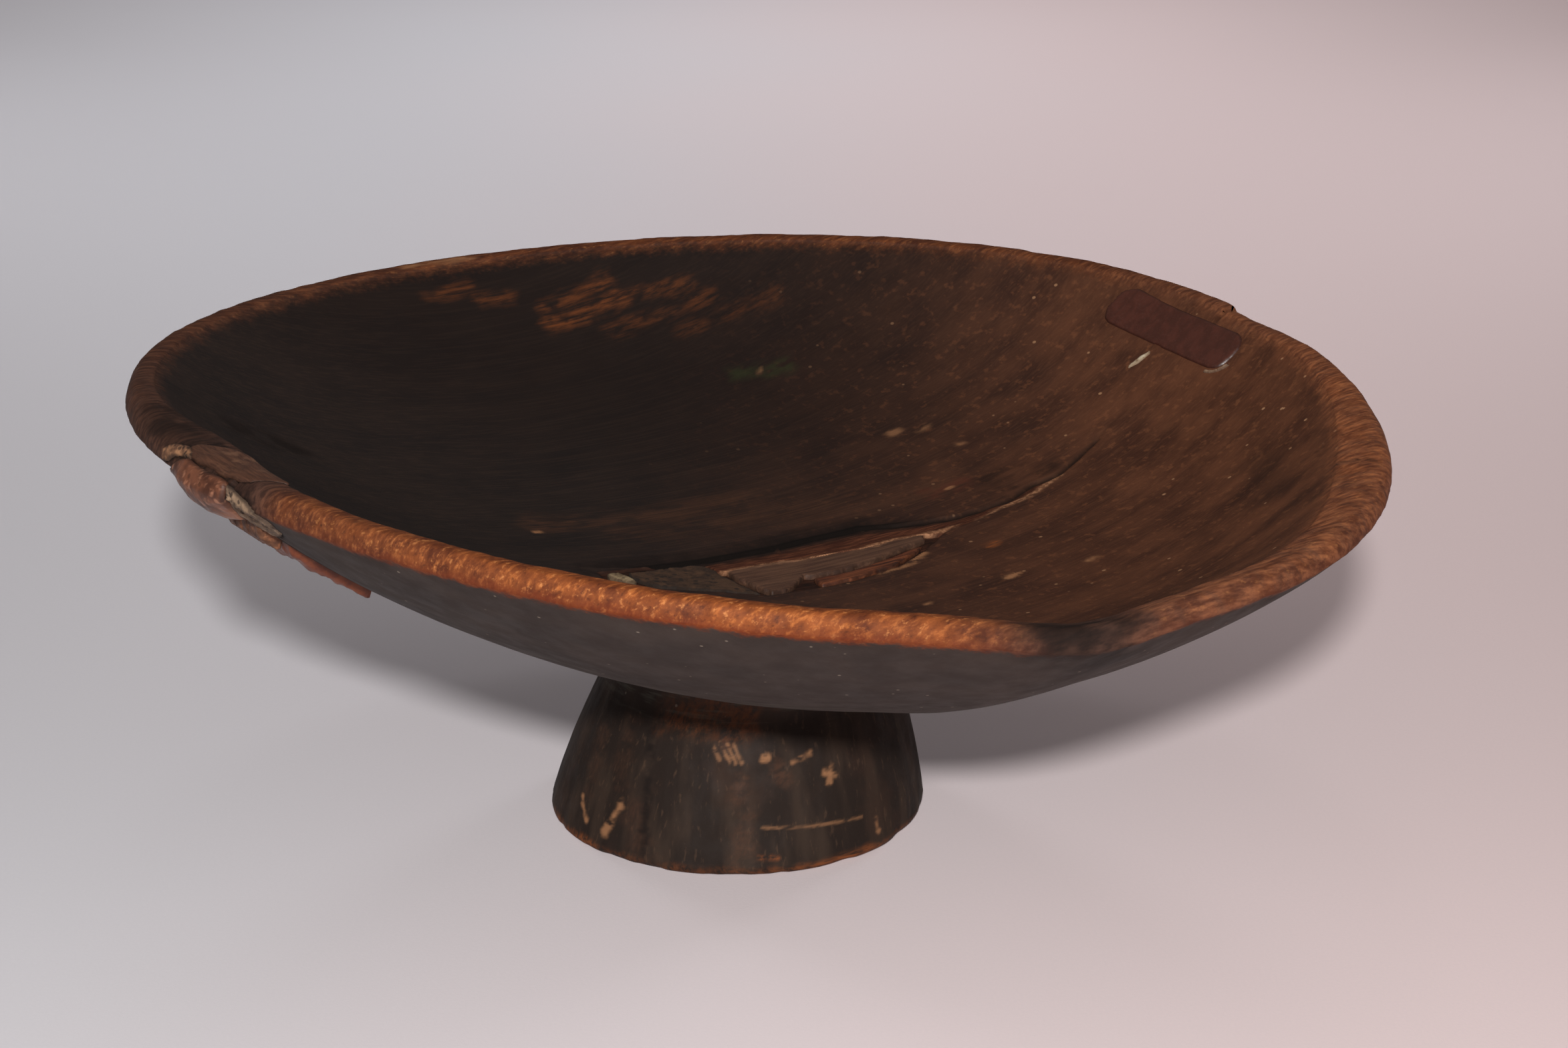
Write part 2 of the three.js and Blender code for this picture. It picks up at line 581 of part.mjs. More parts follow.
function add(name, solid, material) {
  const mesh = new THREE.Mesh(geometryOf(solid), MATERIALS[material]);
  mesh.name = name;
  group.add(mesh);
}

add('dish_and_foot', dish, 'dark_wood');
add('rim_fragment', fragment, 'broken_wood');
add('rim_lump', lump, 'brown_resin');
add('rim_putty', putty, 'pale_putty');
add('rim_edge_filler', edgeFiller, 'pale_putty');
add('rim_splinter', splinter, 'broken_wood');
add('split_resin', resin, 'red_resin');
add('wall_patch', patch, 'patch_leather');
add('patch_bedding', bedding, 'pale_putty');
add('wall_putty_streak', streak, 'pale_putty');
add('floor_sliver', sliver, 'broken_wood');
add('floor_sliver_small', smallSliver, 'broken_wood');
add('floor_crack_filler', floorFiller, 'dark_filler');
add('floor_putty_spot', floorPutty, 'pale_putty');

// The origin lies on the ground under the middle of the rim's outline
const outline = new THREE.Box2().setFromPoints(ring(angle => insideRim(angle, 0)));
const middle = outline.getCenter(new THREE.Vector2());
group.position.set(-middle.x, -middle.y, 0);

export default group;
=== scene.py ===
import math

import bpy
import numpy as np
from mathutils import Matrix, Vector
from mathutils.geometry import delaunay_2d_cdt


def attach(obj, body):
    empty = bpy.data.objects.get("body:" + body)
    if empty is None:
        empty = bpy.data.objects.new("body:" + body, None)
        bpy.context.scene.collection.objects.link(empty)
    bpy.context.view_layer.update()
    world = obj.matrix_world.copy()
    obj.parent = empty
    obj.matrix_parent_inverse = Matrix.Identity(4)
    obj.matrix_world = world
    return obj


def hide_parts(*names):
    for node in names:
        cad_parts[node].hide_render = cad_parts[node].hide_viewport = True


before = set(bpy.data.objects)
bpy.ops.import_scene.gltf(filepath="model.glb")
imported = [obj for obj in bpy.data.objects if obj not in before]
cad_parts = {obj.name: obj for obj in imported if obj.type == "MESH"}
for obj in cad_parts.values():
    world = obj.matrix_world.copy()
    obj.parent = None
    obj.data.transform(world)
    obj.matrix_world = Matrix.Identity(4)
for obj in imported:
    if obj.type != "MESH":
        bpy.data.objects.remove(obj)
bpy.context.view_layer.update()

# An old footed wooden dish with its repairs. Shapes are worked out in millimetres round the
# rim centre, as in the solid model, and written to the meshes in metres.

MM = 0.001
DEGREE = math.pi / 180
RIGHT_ANGLE = math.pi / 2
TINY = 1e-6

# Rim, lip, hollow, underside and foot, the same values as the solid model. A wave has its order,
# cosine and sine. A swell or dip has its angle and width in degrees, and its size.
RIM_RADIUS = 162.6
RADIUS_WAVES = ((2, 0.2, -2.4), (3, -0.7, 0.4))
RIM_HEIGHT = 118.2
HEIGHT_WAVES = ((2, 0.2, 4.3),)
SLOPE = (-0.04, 0.01)
LIP_WIDTH = 7.5
LIP_FACE = 6
LIP_EASE = 1.3
LIP_CREST = 0.45
RIGHT_SWELL = (-12, 23, 7)
LEFT_SWELL = (-150, 14, 7)
WORN_DIP = (-63.6, 8.6, 4.2)
REAR_DIP = (25, 6, 1.2)
FLOOR_HEIGHT = 73
FLOOR_CENTRE = np.array([4.3, 1.5])
HOLLOW_ROUNDNESS = 0.45
UNDERSIDE_HEIGHT = 46.5
UNDERSIDE_CENTRE = np.array([3.3, -0.5])
UNDERSIDE_SLOPE = (-0.09, 0)
UNDERSIDE_ROUNDNESS = 0.88
FOOT_RADIUS = 50.8
FOOT_CENTRE = np.array([-6.8, 2.5])
FOOT_CORNER = 2.5
FOOT_FLANK = 38
FOOT_TAPER = 7.6
FOOT_BOW = 3.9
FOOT_SHIFT = 3.7
FOOT_BLEND = 0.3
GRAIN_ANGLE = 36 * DEGREE
SPLIT_ANGLE = -140.2 * DEGREE
REAR_SPLIT_ANGLE = 32.2 * DEGREE

# Unevenness of the dish: height, size, seed and levels of each noise
CARVING = ((0.5, 52, 11, 2), (0.12, 14, 17, 2))
GRAIN_RIDGES = ((0.07, (70, 2.6, 5), 23, 3),)
FLANK_WAVES = ((0.28, (9, 60, 1), 53, 2),)
FLANK_PITS = ((0.1, (2.5, 2.5, 9), 59, 2),)
LIP_WEAR = ((0.3, 9, 71, 2), (0.16, 2.6, 73, 3))
LIP_WEAR_DEPTH = 0.28
CARVING_EASE = 14
FOOT_WEAR_DEPTH = 1.1
FOOT_WEAR_HEIGHT = 7
PATCH_FLAT = (46, 26)

# The dish's mesh: segments round it, where they are closer together, and the zones of its section
SEGMENTS = 840
CLOSER_AT_BREAK = (-145, 9, 2.6)
CLOSER_AT_REAR = (33, 9, 1.6)
FOOT_FACE, FLANK, WALL, OUTER_LIP, INNER_LIP, INSIDE = range(6)
SHARP_ANGLE = 60


def fade(angle, swell):
    """1 at the swell's own angle, fading to 0 away from it."""
    turn = np.angle(np.exp(1j * (angle - swell[0] * DEGREE)))
    return np.exp(-(turn / (swell[1] * DEGREE)) ** 2)


def swelling(angle, *swells):
    return sum(swell[2] * fade(angle, swell) for swell in swells)


def wave_sum(waves, angle):
    return sum(c * np.cos(order * angle) + s * np.sin(order * angle) for order, c, s in waves)


def rim_radius(angle):
    return RIM_RADIUS + wave_sum(RADIUS_WAVES, angle)


def lip_width(angle):
    return LIP_WIDTH + swelling(angle, RIGHT_SWELL, LEFT_SWELL)


def lip_top(angle):
    radius = rim_radius(angle)
    lean = SLOPE[0] * radius * np.cos(angle) + SLOPE[1] * radius * np.sin(angle)
    return RIM_HEIGHT + lean + wave_sum(HEIGHT_WAVES, angle) - swelling(angle, WORN_DIP, REAR_DIP)


def polar(radius, angle):
    return np.stack([radius * np.cos(angle), radius * np.sin(angle)], -1)


def raised(plan, height):
    """Points over places of the plan."""
    return np.concatenate([plan, np.asarray(height)[..., None]], -1)


def flat_points(x, y):
    return np.stack([x, y, 0 * x], -1)


def lip_point(angle, across, drop):
    return raised(polar(rim_radius(angle) - across * lip_width(angle), angle), lip_top(angle) - drop)


RING = np.linspace(-math.pi, math.pi, 3601)


class Bowl:
    """Bowl-shaped surface that rises from its centre to a line round the lip."""

    def __init__(self, across, drop, centre, height, slope, roundness):
        self.across, self.drop, self.centre = across, drop, centre
        self.height, self.slope, self.roundness = height, slope, roundness
        edge = lip_point(RING, across, drop)[:-1]
        offset = edge[:, :2] - centre
        bearing = np.arctan2(offset[:, 1], offset[:, 0])
        order = np.argsort(bearing)
        self.bearing = bearing[order]
        self.reach = np.hypot(*offset.T)[order]
        self.climb = (edge[:, 2] - self.base(edge[:, 0], edge[:, 1]))[order]

    def base(self, x, y):
        return self.height + self.slope[0] * x + self.slope[1] * y

    def rise(self, share):
        return self.roundness * share ** 2 + (1 - self.roundness) * share ** 4

    def point(self, angle, share):
        """Point a share of the way from the centre to the edge."""
        edge = lip_point(angle, self.across, self.drop)
        x = self.centre[0] + (edge[..., 0] - self.centre[0]) * share
        y = self.centre[1] + (edge[..., 1] - self.centre[1]) * share
        climb = edge[..., 2] - self.base(edge[..., 0], edge[..., 1])
        return np.stack([x, y, self.base(x, y) + climb * self.rise(share)], -1)

    def at(self, x, y):
        """Height over a place of the plan."""
        bearing = np.arctan2(y - self.centre[1], x - self.centre[0])
        reach, climb = (np.interp(bearing, self.bearing, values, period=2 * math.pi)
                        for values in (self.reach, self.climb))
        share = np.hypot(x - self.centre[0], y - self.centre[1]) / reach
        return self.base(x, y) + climb * self.rise(share)


HOLLOW = Bowl(1, LIP_EASE, FLOOR_CENTRE, FLOOR_HEIGHT, SLOPE, HOLLOW_ROUNDNESS)
UNDERSIDE = Bowl(0, LIP_FACE, UNDERSIDE_CENTRE, UNDERSIDE_HEIGHT, UNDERSIDE_SLOPE, UNDERSIDE_ROUNDNESS)

# The outline's middle, which the origin lies under
RIM_RING = lip_point(RING, 0, 0)
MIDDLE = (RIM_RING.min(0) + RIM_RING.max(0))[:2] / 2


def flank_point(angle, height):
    share = height / FOOT_FLANK
    radius = FOOT_RADIUS - FOOT_TAPER * share - FOOT_BOW * share ** 2
    x = FOOT_CENTRE[0] + FOOT_SHIFT * share + radius * np.cos(angle)
    y = FOOT_CENTRE[1] + radius * np.sin(angle)
    return np.stack([x, y, height + 0 * x], -1)


def foot_corner_point(angle, turn):
    point = flank_point(angle, FOOT_CORNER * (1 - np.cos(turn)))
    return point - raised(polar(FOOT_CORNER * (1 - np.sin(turn)), angle), 0 * angle)


def foot_face_point(angle, share):
    edge = foot_corner_point(angle, 0 * angle) * np.array([1, 1, 0])
    return edge * share[..., None] + np.append(FOOT_CENTRE, 0) * (1 - share[..., None])


def blend_point(angle, share):
    """Hollow curve from the foot's flank into the underside."""
    low = flank_point(angle, FOOT_FLANK + 0 * angle)
    high = UNDERSIDE.point(angle, FOOT_BLEND)
    corner = flank_point(angle, high[..., 2])
    done = share[..., None]
    return low * (1 - done) ** 2 + corner * 2 * (1 - done) * done + high * done ** 2


def outer_lip_point(angle, share):
    turn = share * RIGHT_ANGLE
    return lip_point(angle, LIP_CREST * (1 - np.cos(turn)), LIP_FACE * (1 - np.sin(turn)))


def inner_lip_point(angle, share):
    turn = share * RIGHT_ANGLE
    return lip_point(angle, LIP_CREST + (1 - LIP_CREST) * np.sin(turn), LIP_EASE * (1 - np.cos(turn)))


# Noise: smooth values on a lattice, made from its whole numbers, the same on every run
HASH_PRIMES = (73856093, 19349663, 83492791, 2654435761, 1274126177)


def noise(points, seed):
    for_x, for_y, for_z, for_seed, last = HASH_PRIMES
    cell = np.floor(points).astype(np.int64)
    part = points - cell
    ease = part * part * (3 - 2 * part)
    total = np.zeros(points.shape[:-1])
    for corner in np.ndindex(2, 2, 2):
        spot = cell + np.array(corner)
        mixed = spot[..., 0] * for_x ^ spot[..., 1] * for_y ^ spot[..., 2] * for_z ^ seed * for_seed
        mixed = (mixed ^ (mixed >> 13)) * last & 0xffffffff
        value = ((mixed ^ (mixed >> 16)) & 0xffff) / 32767.5 - 1
        total += np.prod(np.where(np.array(corner) == 1, ease, 1 - ease), -1) * value
    return total


def fractal(points, size, seed, levels=3):
    """Noise of a given size in millimetres with finer levels on top, about -1 to 1."""
    scale = np.asarray(size, float)
    return sum(noise(points * 2 ** level / scale, seed + level) / 2 ** level for level in range(levels)) / 1.5


def relief(points, layers):
    return sum(height * fractal(points, size, seed, levels) for height, size, seed, levels in layers)


def smooth(low, high, value):
    """0 at the low value, 1 at the high one, with soft ends."""
    share = np.clip((value - low) / (high - low), 0, 1)
    return share * share * (3 - 2 * share)


def turned(x, y, angle):
    """The same place on axes that are turned by the angle."""
    return x * math.cos(angle) + y * math.sin(angle), y * math.cos(angle) - x * math.sin(angle)


def along_grain(points):
    """The same points on axes with x along the grain and y across it."""
    return np.stack([*turned(points[..., 0], points[..., 1], GRAIN_ANGLE), points[..., 2]], -1)


def blob(x, y, centre, radii, turn=0.0):
    """1 in the middle of an oval of the plan, fading to 0 outside it."""
    u, v = turned(x - centre[0], y - centre[1], turn)
    return np.exp(-((u / radii[0]) ** 2 + (v / radii[1]) ** 2))


def signed_distance(x, y, outline):
    """Distance to the outline, positive inside it."""
    best = np.full(x.shape, np.inf)
    inside = np.zeros(x.shape, bool)
    for (ax, ay), (bx, by) in zip(outline, np.roll(outline, -1, 0)):
        ex, ey = bx - ax, by - ay
        share = np.clip(((x - ax) * ex + (y - ay) * ey) / (ex * ex + ey * ey + 1e-12), 0, 1)
        best = np.minimum(best, np.hypot(x - ax - share * ex, y - ay - share * ey))
        crosses = (ay > y) != (by > y)
        inside ^= crosses & (x < (bx - ax) * (y - ay) / (by - ay + 1e-12) + ax)
    return np.where(inside, best, -best)


def path_distance(x, y, path):
    """Distance to an open path, and how far along it the nearest point is, from 0 to 1."""
    steps = np.hypot(*np.diff(path, axis=0).T)
    marks = np.concatenate([[0], np.cumsum(steps)]) / steps.sum()
    best = np.full(x.shape, np.inf)
    where = np.zeros(x.shape)
    for index in range(len(path) - 1):
        (ax, ay), (bx, by) = path[index], path[index + 1]
        ex, ey = bx - ax, by - ay
        share = np.clip(((x - ax) * ex + (y - ay) * ey) / (ex * ex + ey * ey), 0, 1)
        distance = np.hypot(x - ax - share * ex, y - ay - share * ey)
        closer = distance < best
        best = np.where(closer, distance, best)
        where = np.where(closer, marks[index] + share * (marks[index + 1] - marks[index]), where)
    return best, where


def rim_outline(pairs):
    """Plan outline from distances round the rim from the left split, and distances inside the rim."""
    pairs = np.array(pairs, float)
    angle = SPLIT_ANGLE + pairs[:, 0] / RIM_RADIUS
    return polar(rim_radius(angle) - pairs[:, 1], angle)


def grain_outline(pairs):
    """Plan outline from distances along and across the grain from the floor's centre."""
    pairs = np.array(pairs, float)
    return np.stack(turned(pairs[:, 0], pairs[:, 1], -GRAIN_ANGLE), -1) + FLOOR_CENTRE


# Repairs in the broken rim. Their outlines lie on the rim's surface: distance round the rim
# from the left split, and distance down the outer face from the crest.
FRAGMENT = np.array([
    [-26.6, 2.4], [-25.6, -0.5], [-20, -4], [-14, -7], [-8, -8.6], [2, -8.6], [12, -7.4], [8.6, -2],
    [5.8, 2.2], [2.6, 3.4], [-1.6, 3.6], [-4.4, 4.5], [-6.6, 4.6], [-10, 4.1], [-14.4, 4.4], [-17, 4.8],
    [-21.6, 4.5]])
LUMP = np.array([
    [-29.4, 9.4], [-27.6, 7.4], [-24.4, 5.6], [-21, 4.7], [-17, 4.9], [-13.6, 5.1], [-9.6, 4.9], [-6.4, 4.9],
    [-4, 4.7], [-1.6, 5.0], [-0.8, 6.2], [-1, 8.3], [-1.6, 11], [-2.2, 15], [-3.4, 18.6], [-8, 20.4],
    [-15, 21.6], [-22, 21.4], [-27.4, 17], [-29.6, 12.6]])
PUTTY = np.array([
    [-0.9, 5.5], [1.2, 5.7], [4.2, 6.5], [8.4, 7.3], [12.4, 9.6], [14, 13], [13, 18], [8, 22], [2, 23.4],
    [-2.6, 21.6], [-3.2, 18.8], [-2, 14.8], [-1.5, 11.4], [-1.1, 8.4]])
EDGE_FILLER = np.array([
    [-36.6, 6.4], [-34.6, 4.5], [-30.6, 3], [-26, 2.3], [-22.4, 3], [-21.3, 4.6], [-24.4, 5.1], [-29, 6.2],
    [-31.8, 8.2], [-34, 8.6]])
FRAGMENT_TIP = (14, -7.4)
LUMP_LEAST = 1.0
LUMP_PROUD = 3.2
LUMP_ROUND = 7
PUTTY_PROUD = 0.5
SCALLOP_DEPTH = 1.1
EDGE_FILLER_PROUD = 0.5
PIT_CENTRE = (-26.4, 5.4)
REPAIR_SEAT = 2.2
REPAIR_RECESS = 2.5
REPAIR_EDGE = (0.6, 0.4)
REPAIR_RAGGED = 0.2
REPAIR_ANGLE = -143 * DEGREE

# Splinter and resin on the outer wall
SPLINTER = rim_outline([[-26.4, 11.5], [-17.9, 8.9], [-0.9, 8.4], [0.6, 14.6], [-8, 15.1], [-17.6, 16.4]])
SPLINTER_PROUD = 2.6
SPLINTER_ROUGH = (0.35, (12, 1.1, 1), 231, 3)
RESIN = rim_outline([[0.3, 15.4], [-8, 15.9], [-16.5, 17.4], [-16.5, 22], [-8.5, 23], [-4.3, 24.5],
                     [-3.4, 28], [-6.8, 30], [-6.2, 35], [-0.6, 38.5], [1.4, 39], [0.9, 27]])
RESIN_PROUD = 2.3
RESIN_ROUGH = (0.9, (5, 3, 1), 241, 3)
OUTER_SEAT = 0.8

# Patch, its bedding and the putty streak on the inner wall
PATCH_ANGLE = 36.2 * DEGREE
PATCH_INSET = 15.8
PATCH_TURN = -4 * DEGREE
PATCH_SIZE = (53, 14)
PATCH_CORNER = 5.5
PATCH_PROUD = 0.65
PATCH_EDGE = (1.4, 0.9)
STRIP_CORNER_POINTS = 24
BEDDING_GAP = 0.3
BEDDING_WIDTH = 1.2
BEDDING_PROUD = 0.8
BEDDING_EDGE = (0.5, 0.6)
STREAK_SIZE = (4.5, 1.1)
STREAK_PLACE = (-1.9, -13.2)
STREAK_TURN = 77 * DEGREE
STREAK_SHAPE = ((1, 0.4), (0.3, 1), (-0.6, 0.8), (-1, -0.2), (-0.2, -1), (0.8, -0.7))
STREAK_PROUD = 0.5
STREAK_EDGE = (0.7, 0.6)

# The split in the floor and the pieces that lie in it
UPPER_EDGE = [[-56, 1.2], [-42, 2.6], [-23.4, 2.3], [-2, 2], [12.6, 2.9], [28.3, 1.9], [40, -4], [52.4, -9.6],
              [60.4, -10.6], [68.5, -11.6], [79.2, -9.4], [86, -11.6], [104, -8.2]]
UPPER_CRACK = grain_outline(UPPER_EDGE)
CRUMBLY_EDGE = grain_outline([
    [-24, -8.4], [-9, -8.8], [0.3, -10.1], [10.3, -11.1], [19, -12.4], [30, -12.4], [38, -14], [46.4, -15.8],
    [53.2, -16.9], [64, -14.6], [73, -15], [86, -13.4]])
FLOOR_SPLIT = grain_outline([[-58, -6]] + UPPER_EDGE + [
    [104, -9.2], [86, -13.6], [73, -15], [64, -14.8], [53.2, -17.3], [46, -16.5], [40, -18.5], [31.5, -23.6],
    [19, -29], [2, -31.2], [-8, -30.5], [-24, -30], [-36, -21.5], [-52, -12.5]])
SPLIT_TAIL = grain_outline([[103, -8.7], [115.3, -6.5], [126.5, 3.1]])
UNDER_PIECES = grain_outline([[-24, -8.6], [0.3, -10], [19, -12.2], [38, -14.2], [60, -30], [0, -45],
                              [-60, -30], [-60, 4], [-42, 3], [-24, -2]])
SLIVER = grain_outline([
    [-22.5, -28.4], [-23.6, -22], [-24, -14], [-23.2, -9.2], [-20, -8.4], [-9, -8.8], [0.3, -10.1],
    [10.3, -11.1], [19, -12.4], [30, -12.4], [38, -14.5], [36, -18], [28, -19], [16, -21.4], [4.6, -23],
    [-4, -22.3], [-7, -21], [-10, -23.4], [-14, -26.6], [-18.4, -28.6]])
SMALL_SLIVER = grain_outline([[-6.2, -24.2], [4.6, -24.8], [16.2, -23], [30, -20.3], [33, -20.6],
                              [29.5, -22.9], [18, -27.5], [2, -29.8], [-7, -29.2]])
FLOOR_FILLER = grain_outline([[-49.2, -4], [-48, -0.6], [-39.5, 0.6], [-28, 0.2], [-24.2, -2.5],
                              [-24.6, -27.5], [-35, -19.5], [-47.5, -11]])
FLOOR_PUTTY = grain_outline([[-56, -4], [-55, -1.2], [-51, -1], [-49.7, -5.5], [-50.4, -9.5], [-54.5, -10]])
FLOOR_SPLIT_DEPTH = 3
FLOOR_SPLIT_GAP = 0.3
SHALLOW_DEPTH = 1.3
CLEFT_DEPTH = 1.5
TAIL_DEPTH = 0.15
SPLIT_REACH = 7
FLOOR_EDGE = (0.6, 0.4)
RAGGED = 0.9
SLIVER_PROUD = 0.2
SLIVER_ROUGH = (0.16, (30, 2.2, 1), 251, 3)
SMALL_SLIVER_PROUD = 0
SMALL_SLIVER_ROUGH = (0.3, (9, 1.6, 1), 261, 3)
FLOOR_FILLER_PROUD = -0.4
FLOOR_FILLER_ROUGH = (0.35, (4, 4, 1), 271, 3)
FLOOR_PUTTY_PROUD = 0.3
FLOOR_PUTTY_ROUGH = (0.3, (3, 3, 1), 281, 3)


def split_path(angle, length):
    """Centre line of a split that runs from outside the rim along the grain."""
    start = polar(rim_radius(angle) + LIP_WIDTH, angle)
    heading = polar(1, GRAIN_ANGLE)
    if heading @ start > 0:
        heading = -heading
    return np.array([start, start + heading * (length + LIP_WIDTH)])


# The splits through the rim: centre line, width, width at the tip and depth
LEFT_SPLIT = (split_path(SPLIT_ANGLE, 44), 1.3, 0.5, 4.5)
REAR_SPLIT = (split_path(REAR_SPLIT_ANGLE, 12), 1.3, 0.4, 5)
REAR_STEP = 1.3


# Camera, as the photograph was taken
camera_data = bpy.data.cameras.new("camera")
camera_data.lens = 76.73
camera_data.sensor_width = 36
camera_data.clip_start = 0.05
camera = bpy.data.objects.new("camera", camera_data)
camera.location = (0.00677, -0.83401, 0.36379)
camera.rotation_euler = ((90 - 18.78) * DEGREE, 0, 0)
bpy.context.collection.objects.link(camera)
bpy.context.scene.camera = camera


# Meshes
def mesh_object(name, points, face_lists, masks, sharp=None):
    """Object from points in millimetres round the rim centre, and faces in lists by number of corners."""
    mesh = bpy.data.meshes.new(name)
    placed = points.reshape(-1, 3) * MM
    placed[:, :2] -= MIDDLE * MM
    corners = np.concatenate([faces.ravel() for faces in face_lists]).astype(np.int32)
    sides = np.concatenate([np.full(len(faces), faces.shape[1]) for faces in face_lists])
    starts = np.concatenate([[0], np.cumsum(sides)[:-1]]).astype(np.int32)
    mesh.vertices.add(len(placed))
    mesh.vertices.foreach_set("co", placed.astype(np.float32).ravel())
    mesh.loops.add(len(corners))
    mesh.loops.foreach_set("vertex_index", corners)
    mesh.polygons.add(len(starts))
    mesh.polygons.foreach_set("loop_start", starts)
    mesh.update(calc_edges=True)
    mesh.validate()
    for mask, values in masks.items():
        layer = mesh.attributes.new(mask, "FLOAT", "POINT")
        layer.data.foreach_set("value", np.ascontiguousarray(values, np.float32).ravel())
    mesh.shade_smooth()
    if sharp:
        mesh.set_sharp_from_angle(angle=sharp * DEGREE)
    piece = bpy.data.objects.new(name, mesh)
    bpy.context.collection.objects.link(piece)
    return piece


def ring_faces(rings, segments):
    """Faces of a closed body of rings, with a pole point before the first ring and one after the last."""
    step = np.arange(segments)
    after = (step + 1) % segments
    first = 1 + np.arange(rings - 1)[:, None] * segments
    quads = np.stack([first + step, first + after, first + segments + after, first + segments + step], -1)
    last = 1 + (rings - 1) * segments
    low = np.stack([0 * step, 1 + after, 1 + step], -1)
    high = np.stack([last + step, last + after, 0 * step + last + segments], -1)
    return [quads.reshape(-1, 4), low, high]


def surface_normals(grid):
    """Outward normals of a closed grid of rings, rings first."""
    normal = np.cross(np.roll(grid, -1, 1) - np.roll(grid, 1, 1), np.gradient(grid, axis=0))
    return normal / np.maximum(np.linalg.norm(normal, axis=-1, keepdims=True), 1e-9)


def shares(count, first, last, power=1.0):
    """Shares from first to last, without the first, closer together at the start when power is over 1."""
    return first + (last - first) * (np.arange(1, count + 1) / count) ** power


def segment_angles(count):
    """Angles round the dish, closer together at the broken rim and at the rear split."""
    turn = np.linspace(-math.pi, math.pi, 20001)
    density = 1 + swelling(turn, CLOSER_AT_BREAK, CLOSER_AT_REAR)
    total = np.concatenate([[0], np.cumsum((density[1:] + density[:-1]) / 2)])
    return np.interp(np.arange(count) / count * total[-1], total, turn)


def section_point(angle, place):
    """Point of the dish's section: hollow below -1, inner lip to 0, outer lip to 1, underside above."""
    point = np.zeros(place.shape + (3,))
    stretches = ((place < -1, lambda a, t: HOLLOW.point(a, 1 + (t + 1) / 5)),
                 ((place >= -1) & (place < 0), lambda a, t: inner_lip_point(a, -t)),
                 ((place >= 0) & (place < 1), lambda a, t: outer_lip_point(a, 1 - t)),
                 (place >= 1, lambda a, t: UNDERSIDE.point(a, 1 - (t - 1) / 5)))
    for chosen, at in stretches:
        point[chosen] = at(angle[chosen], place[chosen])
    return point


# Distance down from the crest for each place on the section, measured at the break
SECTION = np.linspace(-3, 4, 1401)
SECTION_STEPS = np.diff(section_point(np.full(SECTION.shape, REPAIR_ANGLE), SECTION), axis=0)
SECTION_DOWN = np.concatenate([[0], np.cumsum(np.linalg.norm(SECTION_STEPS, axis=1))])
SECTION_DOWN -= np.interp(0, SECTION, SECTION_DOWN)


def on_rim(along, down, raise_by):
    """Point of the rim's surface near the break, raised off it."""
    angle = SPLIT_ANGLE + along / RIM_RADIUS
    place = np.interp(down, SECTION_DOWN, SECTION)
    step = 0.02
    across = section_point(angle, place + step) - section_point(angle, place - step)
    onwards = section_point(angle + step, place) - section_point(angle - step, place)
    normal = np.cross(across, onwards)
    normal /= np.linalg.norm(normal, axis=1, keepdims=True)
    return section_point(angle, place) + normal * raise_by[:, None]


def patch_frame():
    """Point and directions on the inner wall: along the rim, up the wall and out of it."""
    angle = np.array(PATCH_ANGLE)
    reach = np.hypot(*(HOLLOW.point(angle, np.array(1.0))[:2] - FLOOR_CENTRE))
    share = 1 - (PATCH_INSET - lip_width(angle)) / reach
    up = HOLLOW.point(angle, share + 0.01) - HOLLOW.point(angle, share - 0.01)
    up /= np.linalg.norm(up)
    along = np.array([math.sin(PATCH_ANGLE), -math.cos(PATCH_ANGLE), 0])
    out = np.cross(along, up)
    out /= np.linalg.norm(out)
    aligned = along * math.cos(PATCH_TURN) + up * math.sin(PATCH_TURN)
    return HOLLOW.point(angle, share), aligned, np.cross(out, aligned), out


PATCH_POINT, PATCH_ALONG, PATCH_UP, PATCH_OUT = patch_frame()


def on_wall(u, v, raise_by):
    """Point of the inner wall at a place in the patch's directions, raised off it."""
    point = PATCH_POINT + u[:, None] * PATCH_ALONG + v[:, None] * PATCH_UP
    for _ in range(12):
        miss = HOLLOW.at(point[:, 0], point[:, 1]) - point[:, 2]
        point = point + PATCH_OUT * (miss * 0.9)[:, None]
    return point + PATCH_OUT * raise_by[:, None]


def crumbly(x, y):
    """1 on the pale, crumbly edge of the split, in broken stretches; partly painted highlight where it faces
    the light.
    """
    lower, where = path_distance(x, y, CRUMBLY_EDGE)
    grain = along_grain(flat_points(x, y))
    broken = smooth(-0.45, 0.15, fractal(grain, (9, 2.5, 1), 49)) * (where < 1)
    return smooth(1.9, 0.5, lower + 0.9 * fractal(grain, (3, 1.4, 1), 43)) * broken


